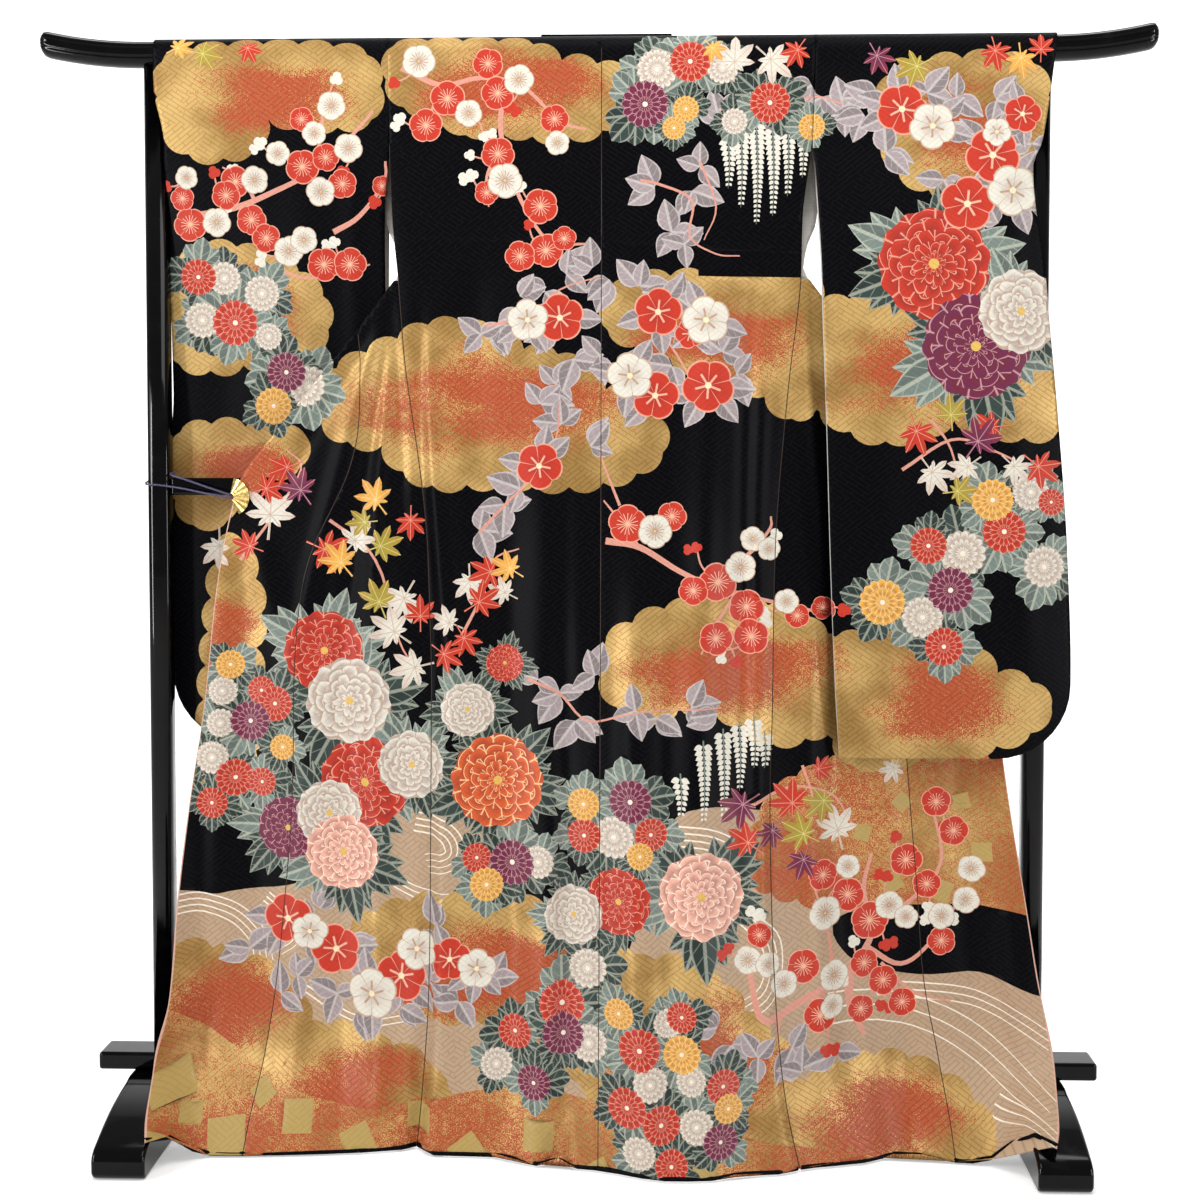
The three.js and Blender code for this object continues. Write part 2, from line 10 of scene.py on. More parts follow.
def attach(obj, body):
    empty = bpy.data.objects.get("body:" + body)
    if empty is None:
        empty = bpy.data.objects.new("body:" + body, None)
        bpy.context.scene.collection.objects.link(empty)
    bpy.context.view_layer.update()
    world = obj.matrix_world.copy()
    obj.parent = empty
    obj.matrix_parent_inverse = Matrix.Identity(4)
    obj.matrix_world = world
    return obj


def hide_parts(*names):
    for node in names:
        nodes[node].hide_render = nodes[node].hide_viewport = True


# A furisode hung back outward over the rail of a lacquered kimono stand.
# The CAD gives the solids; here the cloth becomes thin dyed silk, and the wood gets its lacquer.

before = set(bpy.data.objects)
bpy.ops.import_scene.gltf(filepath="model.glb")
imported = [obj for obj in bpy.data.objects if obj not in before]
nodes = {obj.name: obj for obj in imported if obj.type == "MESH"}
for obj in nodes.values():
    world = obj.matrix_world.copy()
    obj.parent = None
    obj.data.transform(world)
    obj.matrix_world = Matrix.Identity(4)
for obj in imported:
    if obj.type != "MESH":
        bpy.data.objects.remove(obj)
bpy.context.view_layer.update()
scene = bpy.context.scene
random.seed(7)

view = {
    "place": (0.0997, -2.5984, 0.998),
    "tiltDown": 2.4,
    "turn": 2.0,
    "lens": 53.79,
    "shift": -0.0649,
}
camera = bpy.data.objects.new("camera", bpy.data.cameras.new("camera"))
scene.collection.objects.link(camera)
camera.location = view["place"]
camera.rotation_euler = (math.radians(90 - view["tiltDown"]), 0, math.radians(view["turn"]))
camera.data.lens = view["lens"]
camera.data.sensor_width = 36
camera.data.shift_y = view["shift"]
scene.camera = camera

light = {"room": 0.42, "key": 56, "fill": 12, "top": 50, "wall": 200, "strip": 90}
world = bpy.data.worlds.new("studio")
world.use_nodes = True
world.node_tree.nodes["Background"].inputs["Color"].default_value = (1, 1, 1, 1)
world.node_tree.nodes["Background"].inputs["Strength"].default_value = light["room"]
scene.world = world
scene.view_settings.view_transform = "Standard"


def addLight(name, place, target, power, size, tall=None):
    lamp = bpy.data.lights.new(name, "AREA")
    lamp.energy = power
    lamp.size = size
    if tall:
        lamp.shape = "RECTANGLE"
        lamp.size_y = tall
    holder = bpy.data.objects.new(name, lamp)
    holder.location = place
    aim = Vector(target) - Vector(place)
    holder.rotation_euler = aim.to_track_quat("-Z", "Y").to_euler()
    scene.collection.objects.link(holder)
    return holder


addLight("key", (-2.9, -1.9, 2.3), (0, 0, 0.9), light["key"], 1.2)
addLight("fill", (2.8, -2.4, 1.6), (0, 0, 0.8), light["fill"], 1.6)
addLight("top", (0.1, -1.1, 3.1), (0, 0, 1.2), light["top"], 1.6)
addLight("wall", (0, 1.6, 4.2), (0, 4.8, 1.4), light["wall"], 3.0)
# two tall strips draw the long highlights down the lacquer, and light nothing else
for name, x in (("strip left", -1.9), ("strip right", 2.3)):
    strip = addLight(name, (x, -1.5, 1.1), (0, 0, 1.0), light["strip"], 0.22, 2.4)
    strip.visible_diffuse = False


def newFinish(name, colour=(0.5, 0.5, 0.5), rough=0.5, metal=0.0, **more):
    finish = bpy.data.materials.new(name)
    finish.use_nodes = True
    shader = finish.node_tree.nodes["Principled BSDF"]
    shader.inputs["Base Color"].default_value = (*colour, 1)
    shader.inputs["Roughness"].default_value = rough
    shader.inputs["Metallic"].default_value = metal
    for name, value in more.items():
        shader.inputs[name.replace("_", " ")].default_value = value
    return finish


class Flow:
    # a value that runs through the nodes of a finish; arithmetic on it adds the node it needs
    def __init__(self, finish, socket):
        self.finish = finish
        self.socket = socket

    def calc(self, how, *values):
        node = self.finish.node_tree.nodes.new("ShaderNodeMath")
        node.operation = how
        for socket, value in zip(node.inputs, values):
            feed(socket, value)
        return Flow(self.finish, node.outputs[0])

    def at(self, how, *more):
        return self.calc(how, self, *more)

    def __add__(self, other):
        return self.calc("ADD", self, other)

    def __sub__(self, other):
        return self.calc("SUBTRACT", self, other)

    def __rsub__(self, other):
        return self.calc("SUBTRACT", other, self)

    def __mul__(self, other):
        return self.calc("MULTIPLY", self, other)

    def __truediv__(self, other):
        return self.calc("DIVIDE", self, other)


def feed(socket, value):
    if isinstance(value, Flow):
        value.finish.node_tree.links.new(value.socket, socket)
    else:
        socket.default_value = (*value, 1) if isinstance(value, tuple) else value


def put(finish, kind, **values):
    node = finish.node_tree.nodes.new("ShaderNode" + kind)
    for name, value in values.items():
        feed(node.inputs[name.replace("_", " ")], value)
    return node


def shaderOf(finish):
    return finish.node_tree.nodes["Principled BSDF"].inputs


def smooth(value, low, high):
    node = put(value.finish, "MapRange", Value=value, From_Min=low, From_Max=high)
    node.interpolation_type = "SMOOTHSTEP"
    return Flow(value.finish, node.outputs["Result"])


def blend(share, first, second):
    finish = next(value.finish for value in (share, first, second) if isinstance(value, Flow))
    node = put(finish, "Mix")
    node.data_type = "RGBA"
    for socket, value in zip((node.inputs[0], node.inputs[6], node.inputs[7]), (share, first, second)):
        feed(socket, value)
    return Flow(finish, node.outputs[2])


def uvMap(finish, name):
    node = put(finish, "UVMap")
    node.uv_map = name
    return Flow(finish, node.outputs[0])


def clothMap(finish, turn=0.0, stretch=(1, 1)):
    place = put(finish, "Mapping", Vector=uvMap(finish, "cloth"))
    place.inputs["Rotation"].default_value = (0, 0, math.radians(turn))
    place.inputs["Scale"].default_value = (*stretch, 1)
    return Flow(finish, place.outputs[0])


def motifMap(finish):
    parts = put(finish, "SeparateXYZ", Vector=uvMap(finish, "motif"))
    return Flow(finish, parts.outputs[0]), Flow(finish, parts.outputs[1])


def noiseAt(where, scale, detail=2.0):
    node = put(where.finish, "TexNoise", Vector=where, Scale=scale, Detail=detail)
    return Flow(where.finish, node.outputs["Fac"])


def toneOf(finish, name):
    node = put(finish, "Attribute")
    node.attribute_name = name
    return Flow(finish, node.outputs["Color"])


def raised(height, depth, strength=0.6):
    bump = put(height.finish, "Bump", Height=height, Distance=depth, Strength=strength)
    feed(shaderOf(height.finish)["Normal"], Flow(height.finish, bump.outputs[0]))


# Figured silk: slanting rows of blocks, in patches of two directions, stand in for a woven key
# fret and show through every dye.
silk = {
    "rough": 0.46,
    "gloss": 0.10,
    "blackGloss": 0.03,
    "sheen": 0.012,
    "fretTurns": (33, -38),
    "fretWidth": 0.027,
    "fretHeight": 0.0062,
    "fretLine": 0.0009,
    "fretRelief": 0.00018,
    "fretShade": 0.30,
}


def fretLines(finish):
    lines = []
    for turn in silk["fretTurns"]:
        node = put(finish, "TexBrick", Vector=clothMap(finish, turn), Scale=1,
                   Brick_Width=silk["fretWidth"], Row_Height=silk["fretHeight"],
                   Mortar_Size=silk["fretLine"], Mortar_Smooth=0.4)
        lines.append(Flow(finish, node.outputs["Fac"]))
    which = smooth(noiseAt(clothMap(finish), 26.0, 0.0), 0.49, 0.51)
    return lines[0] * (1.0 - which) + lines[1] * which


def weave(finish, colour, shade=silk["fretShade"], metal=None):
    shader = shaderOf(finish)
    fret = fretLines(finish)
    feed(shader["Base Color"], blend(fret * shade, colour, (0.0, 0.0, 0.0)))
    raised(fret, silk["fretRelief"])
    shader["Sheen Weight"].default_value = silk["sheen"]
    shader["Specular IOR Level"].default_value = silk["gloss"]
    if metal:
        feed(shader["Metallic"], metal)


def groundDye():
    finish = newFinish("silk_ground", (0.006, 0.0062, 0.009), silk["rough"])
    weave(finish, blend(fretLines(finish), (0.0010, 0.0010, 0.0017), (0.0034, 0.0034, 0.0050)), 0.0)
    shaderOf(finish)["Specular IOR Level"].default_value = silk["blackGloss"]
    shaderOf(finish)["Sheen Weight"].default_value = 0.0
    return finish


gold = (0.52, 0.335, 0.118)
deepGold = (0.29, 0.165, 0.046)
orange = (0.40, 0.078, 0.029)


def sprinkled(finish, share):
    # orange dye sprinkled with gold leaf; share is how much of it is orange
    grain = noiseAt(clothMap(finish), 560.0) * 0.75 + noiseAt(clothMap(finish), 120.0) * 0.25
    isOrange = smooth(grain - ((1.0 - share) * 0.40 + 0.32), -0.02, 0.04)
    leaf = blend(smooth(noiseAt(clothMap(finish), 9.0, 3.0), 0.35, 0.65), deepGold, gold)
    return blend(isOrange, leaf, orange), (1.0 - isOrange) * 0.14


def cloudDye():
    finish = newFinish("silk_gold_cloud", gold, 0.44)
    across, up = motifMap(finish)
    swing = (noiseAt(clothMap(finish, stretch=(0.4, 1.1)), 10.0, 3.0) - 0.5) * 1.5
    rise = up + swing
    reach = (across + swing) * 0.86
    inside = 1.0 - (rise * rise + reach * reach).at("SQRT")
    colour, metal = sprinkled(finish, smooth(inside, -0.05, 0.85) * 0.88)
    weave(finish, colour, metal=metal)
    return finish


def fieldDye():
    finish = newFinish("silk_speckled", orange, 0.45)
    swing = (noiseAt(clothMap(finish, stretch=(0.6, 1.0)), 8.0, 3.0) - 0.5) * 0.9
    colour, metal = sprinkled(finish, swing + 0.60 - motifMap(finish)[1] * 0.08)
    weave(finish, colour, 0.2, metal)
    return finish


def waterDye():
    finish = newFinish("silk_water", (0.7, 0.45, 0.3), 0.44)
    drift = noiseAt(clothMap(finish), 3.0, 1.0)
    weave(finish, blend(drift, (0.40, 0.262, 0.165), (0.48, 0.345, 0.225)), 0.24)
    return finish


# Flower heads in polar coordinates: rings of petals, a heart and stamens, these as how many, how
# wide and how long. Every flower carries its own two tones, one of the petals and one of the lines.
def flowerDye(name, petals, heart, dark, fineness, notch, core, rings=1, ruffle=0.0, stamens=None):
    finish = newFinish(name, (0.7, 0.2, 0.1), 0.45)
    x, y = motifMap(finish)
    far = (x * x + y * y).at("SQRT")
    angle = y.at("ARCTAN2", x)
    offset = 0.5 if rings == 1 else (far * rings).at("FLOOR") * 0.5
    side = ((angle * (petals / (2 * math.pi)) + offset).at("FRACT") - 0.5).at("ABSOLUTE") * 2.0
    if rings > 1:
        wavy = (angle * 5.0 + far * 9.0).at("SINE")
        inRing = ((far + wavy * ruffle + side * side * notch) * rings).at("FRACT")
        rim, shade = smooth(inRing, 0.86, 0.97), smooth(inRing, 0.0, 0.85)
    else:
        lobe = (angle * (petals / 2)).at("COSINE").at("ABSOLUTE").at("POWER", 0.55)
        rim, shade = smooth(far / (lobe * notch + (1 - notch)), 0.90, 0.96), smooth(far, 0.0, 0.75)
    tone, line = toneOf(finish, "tone"), toneOf(finish, "line")
    petal = blend(shade, blend(dark, tone, (0.16, 0.02, 0.02)), tone)
    inside = blend(smooth(side, fineness, 1.0).at("MAXIMUM", rim) * 0.85, petal, line)
    if stamens:
        count, width, reach = stamens
        near = 0.5 - ((angle * (count / (2 * math.pi))).at("FRACT") - 0.5).at("ABSOLUTE")
        drawn = 1.0 - smooth(near * far * (2 * math.pi / count), width * 0.5, width)
        inside = blend(drawn * (1.0 - smooth(far, reach, reach + 0.06)), inside, line)
    weave(finish, blend(1.0 - smooth(far, heart * 0.85, heart), inside, core), 0.10)
    return finish


def leafDye(name, fullness, power, veins):
    # fullness and power are those of the leaf's own outline, for the pale line round its edge
    finish = newFinish(name, (0.1, 0.13, 0.11), 0.46)
    x, y = motifMap(finish)
    tone, line = toneOf(finish, "tone"), toneOf(finish, "line")
    aside = y.at("ABSOLUTE")
    held = x.at("MAXIMUM", 0.001).at("MINIMUM", 0.999)
    arch = (held.at("POWER", fullness) * math.pi).at("SINE")
    rim = smooth(aside / arch.at("MAXIMUM", 0.001).at("POWER", power), 0.76, 0.90)
    rib = 1.0 - smooth(aside, 0.07, 0.16)
    vein = smooth(((x - aside * 0.3) * veins).at("FRACT"), 0.86, 0.95)
    half = blend(smooth(y, -0.15, 0.15), blend(0.35, tone, (0.0, 0.0, 0.0)), tone)
    weave(finish, blend(rib.at("MAXIMUM", rim).at("MAXIMUM", vein * 0.6) * 0.62, half, line), 0.12)
    return finish


def mapleDye():
    finish = newFinish("silk_maple", (0.7, 0.2, 0.1), 0.45)
    x, y = motifMap(finish)
    tone, line = toneOf(finish, "tone"), toneOf(finish, "line")
    far = (x * x + y * y).at("SQRT")
    turn = y.at("ARCTAN2", x) * (8 / (2 * math.pi))
    vein = 1.0 - smooth(((turn + 0.5).at("FRACT") - 0.5).at("ABSOLUTE") * far, 0.010, 0.026)
    body = blend(smooth(far, 0.1, 0.9), tone, blend(0.25, tone, (0.35, 0.05, 0.02)))
    weave(finish, blend(vein * 0.7, body, line), 0.10)
    return finish


def plainDye():
    finish = newFinish("silk_plain", (0.7, 0.2, 0.1), silk["rough"])
    weave(finish, toneOf(finish, "tone"), 0.10)
    return finish


def liningDye():
    # plain pale silk, its threads running both ways
    finish = newFinish("silk_lining", (0.44, 0.41, 0.37), 0.5, Sheen_Weight=0.15)
    warp = noiseAt(clothMap(finish, stretch=(1, 0.05)), 800.0)
    weft = noiseAt(clothMap(finish, stretch=(0.05, 1)), 800.0)
    threads = (warp + weft) * 0.5
    feed(shaderOf(finish)["Base Color"],
         blend(smooth(threads, 0.3, 0.7), (0.37, 0.345, 0.31), (0.50, 0.465, 0.42)))
    raised(threads, 0.00008)
    return finish


def solidMap(finish):
    return Flow(finish, put(finish, "TexCoord").outputs["Object"])


def lacquerFinish():
    # deep black: the faint ripple of brushed coats, with a little haze
    finish = newFinish("black_lacquer", (0.0008, 0.0008, 0.0012), 0.10, Specular_IOR_Level=0.14)
    haze = smooth(noiseAt(solidMap(finish), 38.0, 4.0), 0.42, 0.78)
    feed(shaderOf(finish)["Roughness"], haze * 0.09 + 0.08)
    feed(shaderOf(finish)["Base Color"], blend(haze, (0.0007, 0.0007, 0.0011), (0.0016, 0.0014, 0.0014)))
    raised(noiseAt(solidMap(finish), 14.0, 1.0), 0.0006, 0.3)
    return finish


def giltFinish():
    finish = newFinish("gilt", (0.58, 0.41, 0.15), 0.34, 1.0)
    worn = noiseAt(solidMap(finish), 240.0, 3.0)
    feed(shaderOf(finish)["Base Color"],
         blend(smooth(worn, 0.35, 0.65), (0.36, 0.235, 0.075), (0.64, 0.46, 0.17)))
    raised(worn, 0.00015)
    return finish


def cordFinish():
    finish = newFinish("purple_cord", (0.014, 0.007, 0.065), 0.6, Sheen_Weight=0.1)
    wave = put(finish, "TexWave", Vector=solidMap(finish), Scale=110.0)
    wave.bands_direction = "DIAGONAL"
    # the twist: real relief in the bump, and in the colour painted shade in its grooves and painted light on
    # its ridges
    twistAndShade = Flow(finish, wave.outputs["Fac"])
    feed(shaderOf(finish)["Base Color"], blend(twistAndShade, (0.007, 0.004, 0.032), (0.024, 0.012, 0.10)))
    raised(twistAndShade, 0.0004)
    return finish


dyes = {
    "ground": groundDye(),
    "cloud": cloudDye(),
    "field": fieldDye(),
    "water": waterDye(),
    "plum": flowerDye("silk_plum", petals=5, heart=0.08, stamens=(15, 0.03, 0.52), dark=0.25,
                      fineness=0.95, notch=0.11, core=(0.70, 0.46, 0.22)),
    "kiku": flowerDye("silk_kiku", petals=15, rings=3, heart=0.12, dark=0.45,
                      fineness=0.78, notch=0.19, core=(0.84, 0.72, 0.58)),
    "peony": flowerDye("silk_peony", petals=11, rings=5, ruffle=0.05, heart=0.10, dark=0.5,
                       fineness=0.88, notch=0.10, core=(0.66, 0.42, 0.10)),
    "camellia": flowerDye("silk_camellia", petals=5, heart=0.13, stamens=(5, 0.055, 0.46), dark=0.35,
                          fineness=0.93, notch=0.18, core=(0.80, 0.66, 0.42)),
    "leaf": leafDye("silk_leaf", fullness=0.75, power=0.95, veins=4.0),
    "lobe": leafDye("silk_lobed_leaf", fullness=1.3, power=0.6, veins=3.0),
    "maple": mapleDye(),
    "plain": plainDye(),
    "lining": liningDye(),
}
dyeNames = list(dyes)
print("finishes made")


# Motifs are placed by listed columns and rows of this sight of the hung garment, and come out in
# millimetres: x along the rail, z up. Later shapes cover earlier ones.
sight = {
    "away": 2600,
    "aside": 9,
    "high": 998,
    "turn": 2.0,
    "tilt": 2.4,
    "spread": 1.45,
    "column": 600,
    "row": 447,
    "sleeveFrom": 835,       # the near right sleeve: beyond this column and above this row
    "sleeveTo": 760,
    "hemFrom": 1000,         # the hem: below this row
    "bodyForward": 35,
    "sleeveForward": 60,
    "hemForward": 90,
    "motifSize": 1.46,
    "branchWidth": 1.4,
}


def onCloth(column, row):
    # straight from the eye to the plane in which the cloth hangs there
    turn, tilt = math.radians(sight["turn"]), math.radians(sight["tilt"])
    scale = sight["away"] / sight["spread"]
    across = (column - sight["column"]) / scale
    up = (sight["row"] + scale * math.tan(tilt) - row) / scale
    ahead = math.cos(tilt) + up * math.sin(tilt)
    ray = (
        across * math.cos(turn) - ahead * math.sin(turn),
        across * math.sin(turn) + ahead * math.cos(turn),
        up * math.cos(tilt) - math.sin(tilt),
    )
    forward = sight["hemForward"] if row > sight["hemFrom"] else sight["bodyForward"]
    if column > sight["sleeveFrom"] and row < sight["sleeveTo"]:
        forward = sight["sleeveForward"]
    reach = (sight["away"] * math.cos(turn) - forward) / ray[1]
    x = sight["aside"] + sight["away"] * math.sin(turn) + reach * ray[0]
    return round(round(x, 1)), round(round(sight["high"] + reach * ray[2], 1))


def laid(places):
    return [onCloth(*place) for place in places]


def sized(places):
    return [(*onCloth(column, row), round(size * sight["motifSize"])) for column, row, size in places]


def toned(places):
    return {tone: sized(places[tone]) for tone in places}


plumFlowers = toned({
    "red": [
        (185, 222, 15), (178, 196, 11), (232, 180, 14), (222, 193, 13), (247, 218, 14), (262, 236, 13),
        (300, 165, 15), (320, 262, 15), (346, 262, 15), (300, 118, 11), (340, 182, 13), (324, 156, 12),
        (380, 184, 9), (447, 97, 16), (425, 124, 15), (487, 62, 14), (497, 92, 15), (554, 118, 13),
        (497, 153, 15), (486, 192, 11), (540, 206, 16), (546, 250, 15), (564, 238, 11), (520, 256, 14),
        (628, 523, 17), (672, 516, 13), (717, 580, 17), (693, 588, 13), (745, 605, 16), (715, 635, 15),
        (750, 634, 16), (796, 614, 11), (821, 606, 10), (820, 868, 14), (868, 917, 17), (846, 890, 15),
        (905, 858, 15), (926, 882, 13), (941, 940, 13), (953, 830, 14), (935, 800, 14), (800, 953, 15),
        (816, 1000, 15), (862, 958, 13), (882, 977, 14), (906, 1012, 13), (756, 918, 11),
        (863, 1014, 12),
    ],
    "white": [
        (183, 176, 10), (252, 178, 12), (276, 152, 11), (212, 220, 13), (284, 249, 14), (330, 104, 13),
        (347, 147, 13), (318, 190, 13), (300, 238, 12), (313, 132, 11), (418, 60, 15), (518, 78, 14),
        (468, 112, 12), (504, 180, 16), (557, 142, 11), (655, 530, 15), (740, 566, 14), (752, 538, 11),
        (768, 548, 10), (785, 600, 11), (846, 862, 11), (822, 905, 15), (888, 903, 13), (966, 900, 12),
        (941, 915, 12), (971, 868, 12), (831, 966, 14), (745, 942, 12), (764, 946, 11), (832, 1006, 11),
        (780, 967, 12), (905, 915, 11),
    ],
})
kikuFlowers = toned({
    "white": [
        (657, 68, 19), (723, 66, 15), (735, 120, 12), (195, 318, 17), (218, 276, 16), (256, 291, 17),
        (303, 386, 20), (262, 335, 13), (1028, 492, 17), (960, 553, 21), (1041, 566, 19), (920, 616, 19),
        (615, 826, 19), (541, 852, 15), (590, 950, 18), (590, 1031, 17), (651, 1062, 16),
        (690, 1060, 14), (695, 1101, 16), (640, 1126, 15), (498, 1058, 15), (224, 690, 14),
        (222, 722, 14), (214, 756, 16), (668, 1008, 13),
    ],
    "red": [
        (690, 60, 19), (770, 101, 19), (192, 275, 17), (228, 321, 22), (1001, 531, 20), (1049, 502, 12),
        (926, 545, 17), (941, 645, 18), (586, 826, 16), (651, 822, 15), (480, 850, 14), (565, 985, 21),
        (640, 1031, 19), (721, 1066, 15), (661, 1099, 17), (628, 1086, 18), (671, 1136, 15),
        (516, 1026, 16), (681, 990, 14), (262, 690, 14), (276, 703, 17), (236, 777, 18), (263, 781, 14),
        (214, 801, 15),
    ],
    "purple": [
        (645, 103, 22), (280, 371, 19), (948, 589, 21), (631, 791, 20), (515, 855, 21), (565, 1025, 19),
        (718, 1116, 16), (251, 721, 19), (536, 1071, 16),
    ],
    "yellow": [
        (686, 108, 12), (674, 127, 11), (812, 126, 12), (266, 405, 18), (990, 500, 19), (880, 601, 21),
        (585, 796, 15), (641, 842, 12), (490, 876, 16), (620, 1001, 14), (681, 1036, 17), (231, 664, 14),
        (726, 1087, 13), (284, 746, 12),
    ],
})
peonyFlowers = toned({
    "red": [
        (935, 263, 50), (325, 650, 36), (367, 780, 42), (620, 886, 29), (506, 661, 17),
    ],
    "purple": [
        (976, 346, 47), (290, 826, 29),
    ],
    "white": [
        (1021, 311, 38), (350, 700, 39), (414, 762, 31), (331, 811, 30), (470, 706, 25), (576, 901, 26),
    ],
    "orange": [
        (500, 776, 42),
    ],
    "pink": [
        (345, 850, 34), (700, 880, 38),
    ],
})
camelliaFlowers = toned({
    "red": [
        (560, 318, 22), (658, 312, 22), (690, 334, 14), (655, 396, 22), (708, 386, 24), (540, 466, 21),
        (905, 105, 23), (996, 152, 25), (970, 202, 25), (1027, 110, 17), (290, 916, 23), (338, 946, 23),
        (405, 968, 23), (455, 946, 19),
    ],
    "white": [
        (528, 320, 19), (706, 320, 22), (630, 376, 21), (936, 122, 21), (1016, 188, 23), (312, 928, 17),
        (376, 986, 23), (421, 941, 19), (481, 956, 18), (1001, 128, 13),
    ],
})
mapleLeaves = toned({
    "white": [
        (270, 515, 22), (355, 541, 16), (405, 598, 18), (395, 631, 18), (416, 666, 17), (471, 580, 15),
        (210, 548, 17), (451, 621, 13), (506, 592, 12), (1011, 466, 14), (930, 472, 16), (966, 466, 14),
        (735, 60, 17), (771, 58, 17), (836, 826, 18), (892, 765, 11),
    ],
    "red": [
        (265, 489, 14), (286, 467, 13), (325, 549, 18), (421, 616, 14), (491, 571, 15), (480, 601, 15),
        (466, 636, 13), (446, 652, 14), (250, 546, 13), (411, 520, 13), (915, 431, 16), (991, 427, 14),
        (1036, 466, 16), (1000, 45, 14), (1046, 44, 11), (246, 46, 11), (798, 48, 12), (790, 796, 17),
        (746, 832, 15), (816, 764, 11),
    ],
    "yellow": [
        (341, 562, 16), (376, 500, 16), (511, 568, 14), (1026, 52, 13), (176, 46, 11), (712, 46, 10),
    ],
    "olive": [
        (381, 546, 15), (380, 601, 16), (950, 415, 14), (956, 491, 13), (920, 61, 15), (201, 52, 13),
        (821, 796, 15), (801, 826, 16), (364, 522, 12),
    ],
    "purple": [
        (300, 490, 16), (976, 441, 17), (880, 50, 13), (741, 796, 17), (801, 851, 14), (770, 822, 12),
    ],
})
vineLeaves = laid([
    (720, 120), (741, 96), (762, 126), (790, 110), (822, 96), (846, 104), (812, 84), (655, 186),
    (692, 190), (672, 232), (684, 244), (700, 166), (545, 292), (566, 274), (592, 268), (610, 280),
    (498, 322), (480, 334), (520, 296), (556, 384), (541, 404), (562, 424), (591, 446), (574, 360),
    (600, 356), (480, 530), (505, 504), (520, 488), (640, 286), (676, 296), (640, 350), (672, 366),
    (722, 352), (736, 374), (560, 690), (577, 716), (596, 672), (540, 676), (656, 712), (690, 700),
    (716, 708), (636, 704), (880, 92), (866, 110), (888, 150), (930, 88), (960, 92), (1000, 96),
    (946, 178), (1000, 222), (1036, 208), (1036, 140), (300, 972), (282, 992), (332, 1002), (356, 1016),
    (400, 1010), (322, 906), (440, 916), (496, 966), (250, 948), (464, 986), (730, 1030), (756, 1044),
    (790, 1040), (800, 1064), (836, 1050), (716, 1012),
])
racemes = sized([
    (741, 128, 76), (757, 124, 96), (773, 130, 82), (788, 118, 74), (803, 112, 62), (728, 140, 46),
    (702, 738, 72), (722, 728, 84), (738, 722, 60), (752, 716, 44), (680, 770, 36), (762, 730, 30),
])
goldClouds = [laid(edge) for edge in (
    [(160, 60), (210, 46), (300, 42), (372, 58), (372, 116), (330, 126), (262, 118), (250, 150),
     (200, 156), (162, 134)],
    [(392, 44), (470, 38), (540, 44), (556, 58), (624, 68), (632, 104), (600, 130), (540, 136),
     (500, 126), (470, 136), (440, 112), (392, 100)],
    [(170, 262), (222, 244), (280, 262), (316, 290), (322, 330), (296, 356), (236, 364), (170, 362)],
    [(170, 432), (230, 426), (300, 434), (306, 462), (262, 478), (236, 500), (226, 520), (170, 520)],
    [(312, 392), (346, 362), (388, 344), (420, 326), (480, 326), (520, 348), (580, 360), (592, 388),
     (640, 392), (664, 430), (652, 466), (580, 486), (500, 482), (440, 486), (400, 470), (384, 446),
     (330, 436)],
    [(606, 296), (640, 278), (720, 276), (812, 277), (814, 414), (790, 418), (758, 392), (730, 376),
     (690, 372), (660, 352), (612, 336)],
    [(816, 306), (860, 300), (912, 304), (930, 326), (1000, 332), (1054, 330), (1058, 430), (1000, 434),
     (960, 420), (900, 440), (860, 436), (816, 404)],
    [(880, 100), (900, 66), (980, 52), (1046, 66), (1052, 180), (1010, 200), (960, 196), (900, 170)],
    [(834, 632), (880, 640), (930, 632), (980, 652), (1000, 676), (1040, 684), (1046, 716), (1010, 738),
     (960, 752), (880, 760), (836, 752)],
    [(606, 640), (650, 612), (700, 600), (780, 606), (812, 630), (840, 640), (850, 700), (820, 728),
     (760, 736), (726, 706), (680, 702), (640, 716), (604, 684)],
    [(206, 566), (232, 530), (250, 560), (262, 610), (256, 660), (264, 720), (246, 770), (214, 800),
     (192, 760)],
    [(150, 952), (200, 944), (250, 958), (290, 980), (304, 1016), (290, 1060), (240, 1072), (152, 1070)],
    [(262, 1056), (330, 1034), (400, 1050), (450, 1076), (440, 1120), (380, 1160), (262, 1160)],
    [(352, 926), (400, 900), (470, 888), (540, 892), (600, 912), (640, 950), (660, 1000), (628, 1050),
     (560, 1060), (520, 1020), (470, 1000), (420, 1000), (360, 970)],
    [(600, 966), (664, 938), (720, 962), (750, 1010), (790, 1050), (780, 1120), (740, 1160),
     (604, 1160)],
    [(780, 1092), (820, 1066), (880, 1062), (930, 1074), (970, 1098), (992, 1130), (960, 1160),
     (800, 1160)],
)]
speckledField = laid([
    (748, 862), (800, 768), (1003, 762), (1024, 910), (930, 918), (840, 900),
])
waterLeft = laid([
    (160, 912), (220, 892), (300, 880), (340, 840), (380, 812), (440, 800), (486, 812), (496, 850),
    (470, 870), (452, 894), (480, 920), (560, 940), (600, 1000), (620, 1180), (150, 1190),
])
waterRight = laid([
    (676, 806), (760, 800), (860, 806), (1010, 812), (1030, 930), (1066, 1190), (560, 1190), (600, 1040),
    (640, 900),
])
cove = laid([
    (846, 908), (1030, 912), (1042, 985), (980, 972), (906, 972), (846, 950),
])
